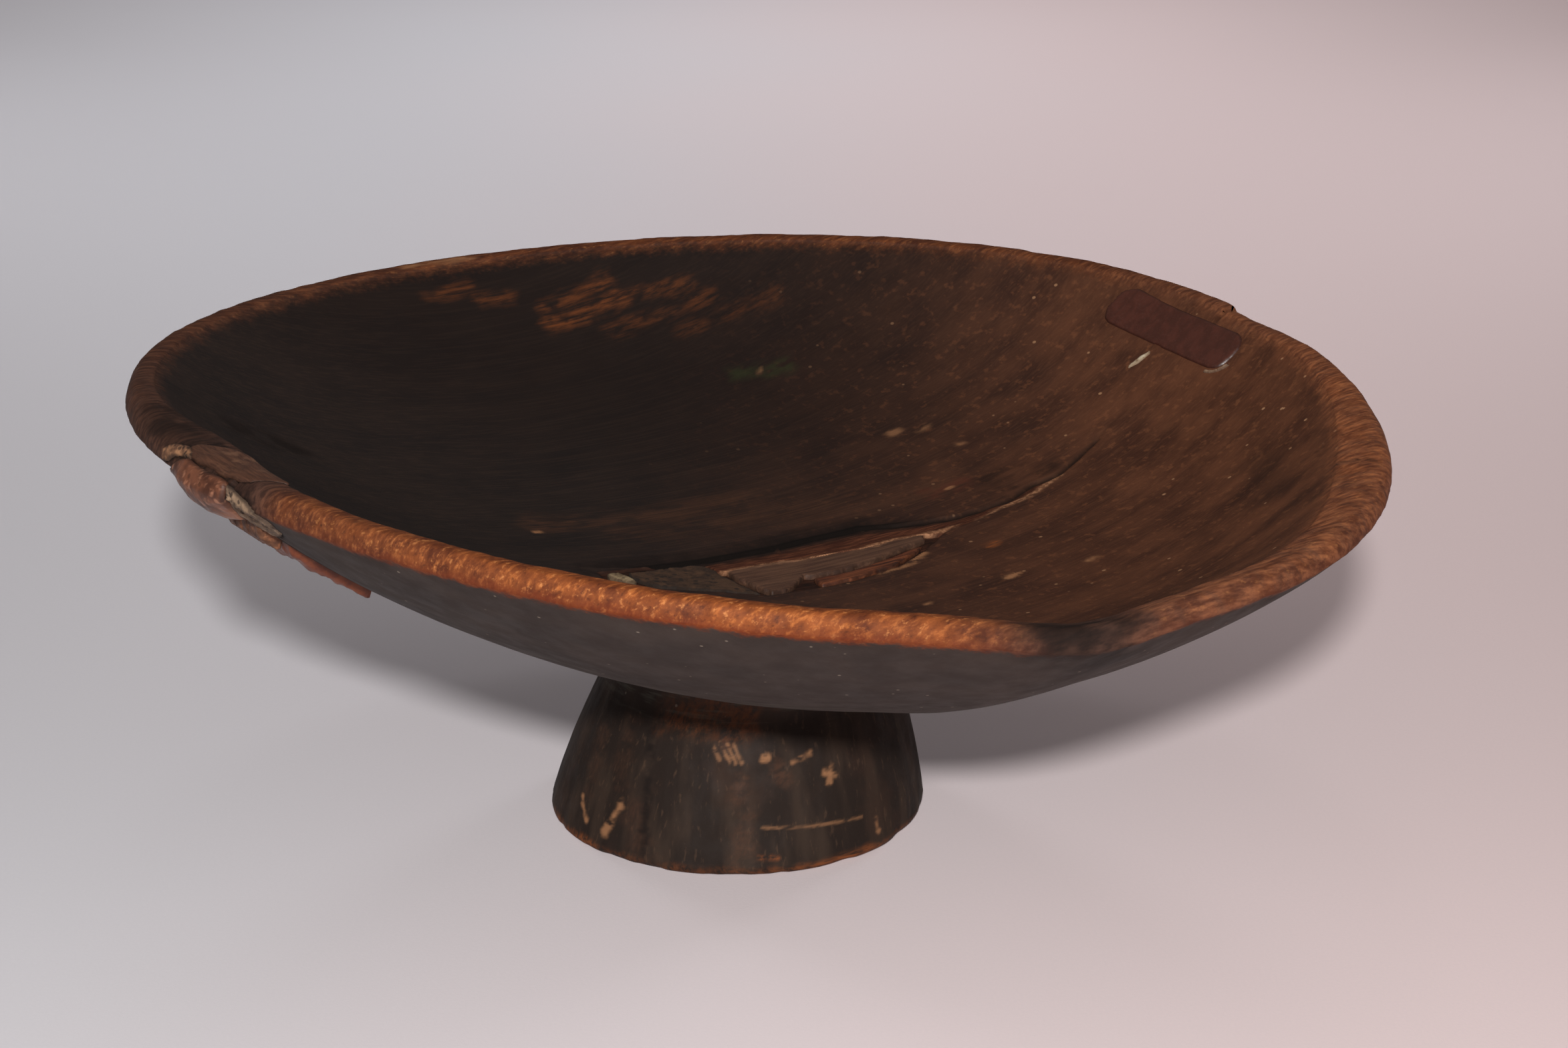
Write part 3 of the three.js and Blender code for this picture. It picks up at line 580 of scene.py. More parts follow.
def floor_split(x, y):
    """Where the floor is near its split, and there the split's depth and masks."""
    inside = signed_distance(x, y, FLOOR_SPLIT)
    near = inside > -SPLIT_REACH
    x, y, inside = x[near], y[near], inside[near]
    grain = along_grain(flat_points(x, y))
    rough = fractal(flat_points(x, y), 4, 31)
    upper, reach = path_distance(x, y, UPPER_CRACK)
    lower, _ = path_distance(x, y, CRUMBLY_EDGE)
    share = upper / (upper + lower + TINY)
    wide = 1 - 0.7 * smooth(0.5, 0.68, reach)
    opened = smooth(-0.6, 0.9, inside + 0.35 * rough)

    # Deep under the pieces that lie in the split, and a slope that rises from the crack beside them
    past = signed_distance(x, y, UNDER_PIECES)
    pieces = (SLIVER, SMALL_SLIVER, FLOOR_FILLER, FLOOR_PUTTY)
    cover = np.max([signed_distance(x, y, piece) for piece in pieces], 0)
    seat = SHALLOW_DEPTH + (FLOOR_SPLIT_DEPTH - SHALLOW_DEPTH) * smooth(0.3, 1.0, cover)
    shaded_cleft = smooth(2.0 + 0.9 * fractal(grain, (9, 3, 1), 37, 2), 0.5, upper)
    slope = 1.2 * (1 - share) + 0.2 + 0.25 * fractal(grain, (7, 1.2, 1), 41)
    floor = np.where(past > 0, seat, np.maximum(slope, CLEFT_DEPTH * shaded_cleft))
    rounded = 0.7 * wide * smooth(4.2, 0.2, upper + 0.6 * rough) * smooth(1.2, -0.6, inside)
    # Painted shade: the crack's steep upper wall and the gaps under the pieces are painted nearly black.
    wall_shade = wide * smooth(1.5, 0.6, upper / wide + 0.4 * rough) * (past < 0)
    # Darker in a soft band along the upper side of the crack.
    darker_above = 0.85 * wide * smooth(8.5, 0.6, upper / wide + 2.2 * rough)
    return near, np.maximum(opened * floor, rounded), {
        "shaded_cleft": np.maximum(wall_shade, opened * np.where(past > 0, 0.62 + 0.3 * rough, shaded_cleft)),
        "raw": opened * np.where(past > 0, 0.8, smooth(0.1, 0.45, share)),
        "crumbly_lit_edge": crumbly(x, y) * (1 - smooth(0.3, 0.9, past)),
        "dark": darker_above * np.where(past > 0, 0.3, 1)}


# Worn and marked places as short strokes under the mask they go into, with one painted shadow and one
# painted glow among them: start, end, half width and strength. In the hollow their places are along and
# across the grain from the floor's centre, on the rim degrees round and the rim field, on the foot degrees
# round and height.
HOLLOW_STROKES = {
    "dark": ((72, 1, 80, 2, 3.6, 0.45), (69, -8, 88, -9, 3.2, 0.6), (-119, 75, -104, 76, 4.5, 0.8),
             # Painted shadow: this dark stroke is the front rim's shadow on the inner wall.
             (100, -76, 79, -117, 7, 0.4)),
    "tan": (
        (10, -30.6, 16, -31.2, 0.8, 0.6), (17, -30.8, 23, -29.8, 0.9, 0.7), (24, -28.6, 29, -26, 1.3, 0.9),
        (31.5, -58, 35, -57, 1.2, 0.8), (50.5, -67.3, 52.7, -67, 1.0, 0.7),
        (-54.8, 32.1, -53.6, 32.3, 0.9, 0.9), (3.3, -60.2, 4.6, -60, 0.9, 1.0), (62, 5.4, 63, 5.7, 0.8, 0.7),
        (59, 91, 60, 91.2, 0.7, 0.5), (71, 43, 73, 42, 1.4, 0.45), (78, 38.5, 80, 38, 1.3, 0.45),
        (80.5, 23.3, 81.5, 23, 1.0, 0.5)),
    "red": ((57, 5, 68, 6, 3, 0.8),),
    "green": ((53, 93.8, 66.5, 88.6, 2.4, 0.5),),
    "orange": (
        (44.5, -34, 47, -33.5, 1.3, 1.0), (-2, 146, 7, 145.7, 2.0, 0.6), (15, 133.8, 38, 135, 2.6, 0.6),
        (40, 134, 60, 129.5, 2.2, 0.4), (16, 139.6, 38, 141, 2.2, 0.45), (-18, 149.7, -3, 151.8, 2.2, 0.4),
        (30, 126, 64, 122.5, 2.4, 0.3), (50, 116, 80, 112, 2.6, 0.2)),
    "faded": ((-52, 36, 12, 34.5, 5, 0.7), (-30, 25, 37, 20, 5, 0.6), (-48, 39.5, -43, 39.4, 4, 0.9),
              (20, 12, 60, 8, 5, 0.5))}
RIM_STROKES = {
    "dark": ((-67, 0, -60, 5, 8, 0.85), (-162, -8, -149, -1, 7, 0.8), (-139.5, 3, -137.5, 6, 3.5, 0.6),
             (-13.1, 2, -14.4, -10, 0.7, 0.8), (-6.4, -7, -7, -18, 0.7, 0.7)),
    "tan": ((131, -4, 124, -5, 2.6, 0.6),)}
FOOT_STROKES = {
    "tan": ((-149.4, 11.4, -144, 6.6, 0.7, 0.6), (-130.8, 14.0, -134.2, 6.4, 1.1, 0.6),
            (-101.5, 32.4, -99, 29.4, 0.45, 0.35), (-99.5, 33.4, -95.2, 29.0, 0.45, 0.45),
            (-97.2, 33.4, -93.2, 28.9, 0.45, 0.45), (-94.5, 33.0, -91.1, 28.8, 0.45, 0.4),
            (-84, 29.8, -82.2, 29.8, 0.7, 0.6), (-73.4, 28.2, -66.9, 29.8, 0.6, 0.5),
            (-61.6, 24.6, -57.6, 24.2, 1.0, 0.6), (-59.4, 25.6, -60, 21.6, 0.8, 0.5),
            (-82.9, 12.6, -48.2, 10.8, 0.35, 0.35), (-42.4, 8.2, -41.4, 5.0, 0.7, 0.5)),
    "faded": ((-87.8, 16, -87.9, 5, 3.0, 0.5), (-125, 13, -119, 5, 3.5, 0.35), (-150, 28, -146, 14, 3, 0.35),
              (-138, 33, -134, 20, 3, 0.3), (-90, 24, -92, 20, 2.2, 0.7), (-78, 26, -76, 24, 2.2, 0.6)),
    # Painted glow: the broad stroke near the top is warm light in the shade under the dish; the small one low
    # down is wear.
    "orange": ((-83.2, 5.2, -77.6, 4.8, 0.8, 0.8), (-118, 39, -84, 42, 6, 0.35)),
    "dark": ((-126.6, 34, -118, 4, 1.3, 0.8),)}
PAINTED = ("dark", "red", "orange", "tan", "green", "faded")


def stroke(u, v, start, end, half):
    """1 along a line with ragged edges and gaps, fading to 0 beside it."""
    distance, _ = path_distance(u, v, np.array([start, end]))
    drawn_out = flat_points(u * 0.4, v)
    ragged = 0.9 * half * fractal(drawn_out, 0.8 + 0.8 * half, 47)
    gaps = smooth(-0.65, 0.1, fractal(drawn_out, 0.7 + 0.5 * half, 67))
    return smooth(1.9 * half, 0.1 * half, distance + ragged) * gaps


class Dish:
    """The dish's points, ring by ring from the foot's face over the lip to the floor, and their masks."""

    def __init__(self):
        angle = segment_angles(SEGMENTS)
        stretches = (
            (foot_face_point, shares(6, 0, 1), FOOT_FACE),
            (foot_corner_point, shares(5, 0, RIGHT_ANGLE), FLANK),
            (flank_point, shares(84, FOOT_CORNER, FOOT_FLANK), FLANK),
            (blend_point, shares(8, 0, 1), WALL),
            (UNDERSIDE.point, shares(64, FOOT_BLEND, 1, 0.8), WALL),
            (outer_lip_point, shares(12, 0, 1), OUTER_LIP),
            (inner_lip_point, shares(10, 0, 1), INNER_LIP),
            (HOLLOW.point, shares(76, 1, 0.46, 1.1), INSIDE),
            (HOLLOW.point, shares(116, 0.46, 0.006), INSIDE))
        grid = np.concatenate([place(*np.meshgrid(angle, steps)) for place, steps, _ in stretches])
        self.rings = len(grid)
        self.zone = np.concatenate([np.full(len(steps) * SEGMENTS, zone) for _, steps, zone in stretches])
        self.turn = np.tile(angle, self.rings)
        self.flat = grid.reshape(-1, 3)
        self.normal = surface_normals(grid).reshape(-1, 3)
        self.x, self.y, self.z = self.flat.T
        self.inset = rim_radius(np.arctan2(self.y, self.x)) - np.hypot(self.x, self.y)
        self.past_lip = self.inset - lip_width(self.turn)
        self.drop = lip_top(self.turn) - self.z

        # The rim field is the drop outside, 0 on the crest, and falls below 0 inwards
        across = self.inset / lip_width(self.turn)
        on_lip = -10 * np.clip((across - LIP_CREST) / (1 - LIP_CREST), 0, 1)
        inwards = np.where(across < 1, on_lip, -10 - self.past_lip)
        self.rim_field = np.where(self.zone <= OUTER_LIP, self.drop, inwards)

        # Distances near the break, as its outlines have them
        crest = int(np.argmax(self.zone == INNER_LIP)) // SEGMENTS - 1
        nearest = int(np.argmin(np.abs(angle - REPAIR_ANGLE)))
        lengths = np.linalg.norm(np.diff(grid[:, nearest], axis=0), axis=1)
        travelled = np.concatenate([[0], np.cumsum(lengths)])
        self.down = np.repeat(travelled[crest] - travelled, SEGMENTS)
        self.along = (self.turn - SPLIT_ANGLE) * RIM_RADIUS

        self.moved = self.flat + self.normal * self.unevenness()[:, None]
        self.masks = {name: np.zeros(len(self.flat)) for name in ("shaded_cleft", "raw", "crumbly_lit_edge") + PAINTED}
        self.masks["rim_field"] = self.rim_field
        self.masks["hollow"] = (self.zone >= INNER_LIP).astype(float)
        low_down = smooth(FOOT_FLANK + 8, FOOT_FLANK - 4, self.z)
        self.masks["foot"] = low_down * (self.zone <= WALL) * (self.inset > RIM_RADIUS / 2)

    def unevenness(self):
        """How far out each point moves, never outwards at the lip and not at all on the ground face."""
        flat, zone, z = self.flat, self.zone, self.z
        off = np.zeros(len(flat))
        inside = zone == INSIDE
        bowl = (zone == WALL) | inside
        from_lip = np.where(zone <= WALL, self.drop - LIP_FACE, self.past_lip)
        off[bowl] = relief(flat[bowl], CARVING) * smooth(0, CARVING_EASE, from_lip[bowl])
        off[inside] += relief(along_grain(flat[inside]), GRAIN_RIDGES)
        under_patch = blob(self.x, self.y, PATCH_POINT[:2], PATCH_FLAT, PATCH_ANGLE + RIGHT_ANGLE)
        off *= 1 - np.clip(1.5 * under_patch, 0, 1)
        flank = (zone == FLANK) & (z > FOOT_CORNER)
        unrolled = flat_points(self.turn[flank] * FOOT_RADIUS, z[flank])
        off[flank] = relief(unrolled, FLANK_WAVES) + relief(flat[flank], FLANK_PITS)
        edge = (zone == FLANK) & (z < FOOT_WEAR_HEIGHT)
        chips = np.clip(fractal(flat[edge], 11, 61) + 0.15, 0, 1)
        off[edge] -= FOOT_WEAR_DEPTH * smooth(FOOT_WEAR_HEIGHT, 0.5, z[edge]) * chips
        band = smooth(11, 6.5, self.rim_field) * smooth(-12.5, -9.5, self.rim_field)
        lip = (band > 0) & (zone >= WALL)
        off[lip] += band[lip] * np.minimum(relief(flat[lip], LIP_WEAR) - LIP_WEAR_DEPTH, 0)
        return off

    def darken(self, chosen, values, mask="shaded_cleft"):
        self.masks[mask][chosen] = np.maximum(self.masks[mask][chosen], values)

    def cut_floor(self):
        """The split in the floor, and its fine tail towards the patch, with painted shade in the split and
        along the tail.
        """
        inside = np.flatnonzero(self.zone == INSIDE)
        x, y = self.x[inside], self.y[inside]
        near, depth, masks = floor_split(x, y)
        self.moved[inside[near], 2] -= depth
        for mask, values in masks.items():
            self.masks[mask][inside[near]] = values
        line = smooth(0.9, 0.2, path_distance(x, y, SPLIT_TAIL)[0])
        self.moved[inside, 2] -= TAIL_DEPTH * line
        self.darken(inside, 0.1 * line)

    def cut_rim(self):
        """The splits through the rim, with painted shade in them, and the step down to the right of the rear
        one.
        """
        for path, width, tip, depth in (LEFT_SPLIT, REAR_SPLIT):
            close = (self.zone >= WALL) & (blob(self.x, self.y, path.mean(0), (60, 60)) > 0.2)
            distance, where = path_distance(self.x[close], self.y[close], path)
            half = (width + (tip - width) * where) / 2
            line = smooth(half + 0.45, half - 0.1, distance + 0.25 * fractal(self.flat[close], 4, 83, 2))
            self.moved[close] -= self.normal[close] * (depth * line)[:, None]
            self.darken(close, line)
        step = (self.zone >= OUTER_LIP) & (blob(self.x, self.y, REAR_SPLIT[0][0], (30, 30)) > 0.1)
        side = (REAR_SPLIT_ANGLE - self.turn[step]) * RIM_RADIUS
        fall = smooth(-0.5, 1.5, side) * smooth(26, 8, side) * smooth(9, 2, self.inset[step])
        self.moved[step, 2] -= REAR_STEP * fall

    def cut_break(self):
        """A recess under each repair of the broken rim, hidden by the repair's edge, and painted shade along
        each repair's outline.
        """
        broken = (self.zone >= WALL) & (np.abs(self.along) < 60) & (self.down > -14) & (self.down < 32)
        for outline in (FRAGMENT, LUMP, PUTTY, EDGE_FILLER):
            inside = signed_distance(self.along[broken], self.down[broken], outline)
            self.moved[broken] -= self.normal[broken] * (REPAIR_RECESS * smooth(0.3, 1.3, inside))[:, None]
            self.darken(broken, 0.75 * smooth(0.7, 0.1, np.abs(inside)))

    def paint(self):
        """Masks of the places that differ in colour."""
        x, y, z = self.moved.T
        zone, turn = self.zone, self.turn
        grain = along_grain(self.moved - np.append(FLOOR_CENTRE, 0))
        on_rim_band = (zone >= WALL) & (np.abs(self.rim_field) < 30)
        on_foot = (zone <= WALL) & (z < 50) & (np.hypot(x - FOOT_CENTRE[0], y - FOOT_CENTRE[1]) < 70)
        sets = ((HOLLOW_STROKES, zone >= INNER_LIP, grain[:, 0], grain[:, 1], 1),
                (RIM_STROKES, on_rim_band, turn * RIM_RADIUS, self.rim_field, RIM_RADIUS * DEGREE),
                (FOOT_STROKES, on_foot, turn * FOOT_RADIUS, z, FOOT_RADIUS * DEGREE))
        for strokes, chosen, u, v, scale in sets:
            for mask, rows in strokes.items():
                for from_u, from_v, to_u, to_v, half, strength in rows:
                    start = np.array([from_u * scale, from_v])
                    end = np.array([to_u * scale, to_v])
                    middle = (start + end) / 2
                    reach = np.hypot(*(end - start)) / 2 + 4 * half
                    close = chosen & (np.abs(u - middle[0]) < reach) & (np.abs(v - middle[1]) < reach)
                    self.darken(close, strength * stroke(u[close], v[close], start, end, half), mask)

        # The foot's edge is worn to orange, most of all at the right front and at the left
        degrees = turn / DEGREE
        base = smooth(3.4, 0.6, z + 1.2 * fractal(self.moved, 7, 63)) * (zone <= FLANK)
        right_front = smooth(-95, -60, degrees) * smooth(0, -20, degrees)
        left = smooth(-172, -160, degrees) * smooth(-132, -142, degrees)
        self.darken(slice(None), base * (0.35 + 0.65 * np.maximum(right_front, left)), "orange")

        # Side: 0 at the left, 1 at the right. In the hollow the darker, cooler left is partly the wood's own
        # tone and partly painted shade.
        self.masks["side"] = smooth(-60, 140, x - 0.15 * y)
        self.masks["shade"] = smooth(20, 110, y) * smooth(100, 10, x) * (zone == INSIDE)
        worn = fade(turn, (-95, 46)) * smooth(-136.8, -132.5, degrees) + 0.95 * fade(turn, (-5, 40))
        worn += 0.55 * fade(turn, (95, 70)) - 0.85 * fade(turn, (-64, 7))
        self.masks["worn"] = np.clip(worn, 0, 1)

    def built(self):
        low = HOLLOW.point(np.zeros(1), np.zeros(1))
        points = np.concatenate([[np.append(FOOT_CENTRE, 0)], self.moved, low])
        masks = {name: np.pad(values, 1, "edge") for name, values in self.masks.items()}
        return mesh_object("dish_look", points, ring_faces(self.rings, SEGMENTS), masks, SHARP_ANGLE)


def build_dish():
    dish = Dish()
    dish.cut_floor()
    dish.cut_rim()
    dish.cut_break()
    dish.paint()
    return dish.built()


# Pieces over an outline
def resampled(outline, spacing):
    """The closed outline with points about the spacing apart."""
    closed = np.concatenate([outline, outline[:1]])
    marks = np.concatenate([[0], np.cumsum(np.hypot(*np.diff(closed, axis=0).T))])
    count = max(8, int(round(marks[-1] / spacing)))
    at = np.sort(np.concatenate([np.arange(count) / count * marks[-1], marks[1:-1]]))
    at = at[np.concatenate([[True], np.diff(at) > spacing * 0.2])]
    return np.stack([np.interp(at, marks, closed[:, axis]) for axis in (0, 1)], -1)


def filled(outline, spacing, ragged, seed):
    """Points and triangles that fill an outline whose edge is a little ragged, and the distance inside it."""
    edge = resampled(outline, spacing)
    inwards = edge.mean(0) - edge
    inwards /= np.linalg.norm(inwards, axis=1, keepdims=True)
    edge = edge + inwards * (ragged * (0.5 + 0.5 * fractal(flat_points(*edge.T), 3.0, seed)))[:, None]
    low = edge.min(0)
    high = edge.max(0)
    x, y = np.meshgrid(np.arange(low[0], high[0], spacing), np.arange(low[1], high[1], spacing * 0.87))
    x = x + (np.arange(len(x)) % 2)[:, None] * spacing / 2
    inner = np.stack([x.ravel(), y.ravel()], -1)
    inner = inner[signed_distance(*inner.T, edge) > spacing * 0.55]
    points = [Vector(point) for point in np.concatenate([edge, inner]).tolist()]
    made = delaunay_2d_cdt(points, [], [list(range(len(edge)))], 1, 1e-5)
    points = np.array([tuple(point) for point in made[0]])
    faces = np.array(made[2])
    a, b, c = (points[faces[:, corner]] for corner in range(3))
    area = (b[:, 0] - a[:, 0]) * (c[:, 1] - a[:, 1]) - (b[:, 1] - a[:, 1]) * (c[:, 0] - a[:, 0])
    faces[area < 0] = faces[area < 0][:, ::-1]
    return points, faces, np.maximum(signed_distance(*points.T, edge), 0)


def slab(name, outline, spacing, top, bottom, ragged, seed, marks=()):
    """Closed piece over an outline, between two surfaces given by functions of its places."""
    flat, faces, depth = filled(outline, spacing, ragged, seed)
    count = len(flat)
    directed = np.concatenate([faces[:, [0, 1]], faces[:, [1, 2]], faces[:, [2, 0]]])
    keys = set(map(tuple, directed.tolist()))
    rim = np.array([(a, b) for a, b in keys if (b, a) not in keys])
    rim = rim[np.lexsort((rim[:, 1], rim[:, 0]))]
    walls = np.stack([rim[:, 0], rim[:, 0] + count, rim[:, 1] + count, rim[:, 1]], -1)
    first, second = np.tile(flat.T, 2)
    masks = {"inside": np.append(depth, depth * 0), "first": first, "second": second}
    for mask, values in marks:
        masks[mask] = np.tile(values(*flat.T), 2)
    points = np.concatenate([surface(*flat.T, depth) for surface in (top, bottom)])
    return mesh_object(name, points, [faces, faces[:, ::-1] + count, walls], masks)


def rounding(depth, edge):
    """How far a rounded edge of a given radius and height drops at a distance inside it."""
    left = np.clip(1 - depth / edge[0], 0, 1)
    return edge[1] * (1 - np.sqrt(1 - left ** 2))


def outer_slope(x, y):
    """Vertical distance for each millimetre of offset from the outer wall."""
    step = 0.5
    dx = (UNDERSIDE.at(x + step, y) - UNDERSIDE.at(x - step, y)) / (2 * step)
    dy = (UNDERSIDE.at(x, y + step) - UNDERSIDE.at(x, y - step)) / (2 * step)
    return np.sqrt(1 + dx * dx + dy * dy)


def floor_piece(name, outline, proud, rough):
    """Piece that lies in the floor's split."""
    def top(x, y, depth):
        uneven = relief(along_grain(flat_points(x, y)), (rough,))
        return np.stack([x, y, HOLLOW.at(x, y) + proud + uneven - rounding(depth, FLOOR_EDGE)], -1)

    def bottom(x, y, depth):
        return np.stack([x, y, HOLLOW.at(x, y) - FLOOR_SPLIT_DEPTH + FLOOR_SPLIT_GAP], -1)

    return slab(name, outline, 0.5, top, bottom, RAGGED, rough[2], (("crumbly_lit_edge", crumbly),))


def wall_piece(name, outline, proud, rough, edge):
    """Piece laid against the outer wall."""
    def bottom(x, y, depth):
        thick = proud + relief(along_grain(flat_points(x, y)), (rough,))
        thick = thick - rounding(depth, (edge, proud + OUTER_SEAT * 0.6))
        return np.stack([x, y, UNDERSIDE.at(x, y) - thick * outer_slope(x, y)], -1)

    def top(x, y, depth):
        return np.stack([x, y, UNDERSIDE.at(x, y) + OUTER_SEAT * outer_slope(x, y)], -1)

    return slab(name, outline, 0.6, top, bottom, RAGGED, rough[2])


def rim_piece(name, outline, spacing, thickness, seed):
    """Piece set into the rim's surface near the break, over an outline of that surface."""
    def top(along, down, depth):
        return on_rim(along, down, thickness(along, down, depth) - rounding(depth, REPAIR_EDGE))

    def bottom(along, down, depth):
        return on_rim(along, down, 0 * along - REPAIR_SEAT)

    return slab(name, outline, spacing, top, bottom, REPAIR_RAGGED, seed)


def inner_wall_piece(name, outline, spacing, thickness, sunk, seed, ragged):
    """Piece laid on the inner wall, over an outline in the patch's directions."""
    def top(u, v, depth):
        return on_wall(u, v, thickness(u, v, depth))

    def bottom(u, v, depth):
        return on_wall(u, v, 0 * u - sunk)

    return slab(name, outline, spacing, top, bottom, ragged, seed)


def build_fragment():
    def thickness(along, down, depth):
        # Its grain closes up towards its right end
        fan = flat_points(along, (down - FRAGMENT_TIP[1]) * 12 / np.maximum(FRAGMENT_TIP[0] - along, 4))
        waves = 0.3 * fractal(flat_points(along, down), 7, 205, 2)
        return 0.1 + 0.14 * fractal(fan, (16, 1.6, 1), 201, 2) + waves

    return rim_piece("rim_fragment_look", FRAGMENT, 0.45, thickness, 203)


def build_lump():
    def thickness(along, down, depth):
        # Low at its left end, and falling again towards the putty
        full = smooth(-28, -16, along) * (1 - 0.5 * smooth(-12, -1, along))
        proud = LUMP_LEAST + (LUMP_PROUD - LUMP_LEAST) * full
        dome = proud * np.sqrt(np.clip(0.08 + depth / LUMP_ROUND, 0, 1))
        dents = 0.4 * fractal(flat_points(along, down), (9, 6, 1), 119, 4)
        return 0.3 + dome + dents * smooth(0, 3, depth)

    return rim_piece("rim_lump_look", LUMP, 0.5, thickness, 103)


def build_putty():
    def thickness(along, down, depth):
        scallops = 0.0 * along
        for place, radii in (((0.6, 8.6), (1.5, 1.2)), ((0.4, 11.2), (1.7, 1.3)), ((2, 13.4), (2.0, 1.4)),
                             ((5, 12.4), (2.6, 1.3)), ((7.8, 14.2), (2.2, 1.5)), ((4, 16), (2.4, 1.4))):
            scallops += blob(along, down, place, radii, 0.3)
        rough = 0.4 * fractal(flat_points(along, down), 2.6, 107, 4)
        return PUTTY_PROUD + rough - SCALLOP_DEPTH * np.clip(scallops, 0, 1)

    return rim_piece("rim_putty_look", PUTTY, 0.4, thickness, 109)


def build_edge_filler():
    def thickness(along, down, depth):
        pit = blob(along, down, PIT_CENTRE, (2.6, 1.3), 0.1)
        ring = blob(along, down, PIT_CENTRE, (4.2, 2.4), 0.1) - 0.8 * pit
        rough = 0.35 * fractal(flat_points(along, down), 1.5, 113)
        return EDGE_FILLER_PROUD + rough + 0.7 * ring - 1.2 * pit

    return rim_piece("rim_edge_filler_look", EDGE_FILLER, 0.35, thickness, 115)


def rounded_strip(grown):
    """The patch's outline, grown by a distance."""
    corner = PATCH_CORNER + grown
    turn = np.linspace(0, RIGHT_ANGLE, STRIP_CORNER_POINTS)
    parts = []
    for quarter, signs in enumerate(((1, 1), (-1, 1), (-1, -1), (1, -1))):
        centre = np.array(signs) * (np.array(PATCH_SIZE) / 2 - PATCH_CORNER)
        parts.append(centre + polar(corner, turn + quarter * RIGHT_ANGLE))
    return np.concatenate(parts)


def build_patch():
    def thickness(u, v, depth):
        wave = 0.12 * fractal(flat_points(u, v), (14, 3, 1), 131, 2)
        fold = 0.3 * np.exp(-((u + 17 + 0.4 * v) / 2.2) ** 2) * smooth(-6, 6, v)
        return PATCH_PROUD + wave + fold - rounding(depth, PATCH_EDGE)

    return inner_wall_piece("wall_patch_look", rounded_strip(0), 0.7, thickness, 0.6, 133, 0.5)


def build_bedding():
    inner = rounded_strip(BEDDING_GAP)
    outer = rounded_strip(BEDDING_GAP + BEDDING_WIDTH)
    chosen = (inner[:, 1] < -2.8) & (inner[:, 0] > -20)
    order = np.argsort(inner[chosen][:, 0])
    outline = np.concatenate([inner[chosen][order], outer[chosen][order][::-1]])

    def thickness(u, v, depth):
        lumps = 0.75 + 0.25 * fractal(flat_points(u, v), 3, 141, 2)
        return BEDDING_PROUD * lumps - rounding(depth, BEDDING_EDGE)

    return inner_wall_piece("patch_bedding_look", outline, 0.5, thickness, 0.4, 143, 0)


def build_streak():
    shape = np.array(STREAK_SHAPE) * np.array(STREAK_SIZE)
    outline = np.stack(turned(shape[:, 0], shape[:, 1], -STREAK_TURN), -1) + np.array(STREAK_PLACE)

    def thickness(u, v, depth):
        return STREAK_PROUD + 0.1 * fractal(flat_points(u, v), 1.5, 151, 2) - rounding(depth, STREAK_EDGE)

    return inner_wall_piece("wall_putty_streak_look", outline, 0.45, thickness, 0.5, 153, 0.15)


# Materials
def rgb(red, green, blue):
    """Linear colour of a screen colour from 0 to 255."""
    parts = (part / 255 for part in (red, green, blue))
    linear = (part / 12.92 if part <= 0.04045 else ((part + 0.055) / 1.055) ** 2.4 for part in parts)
    return (*linear, 1)


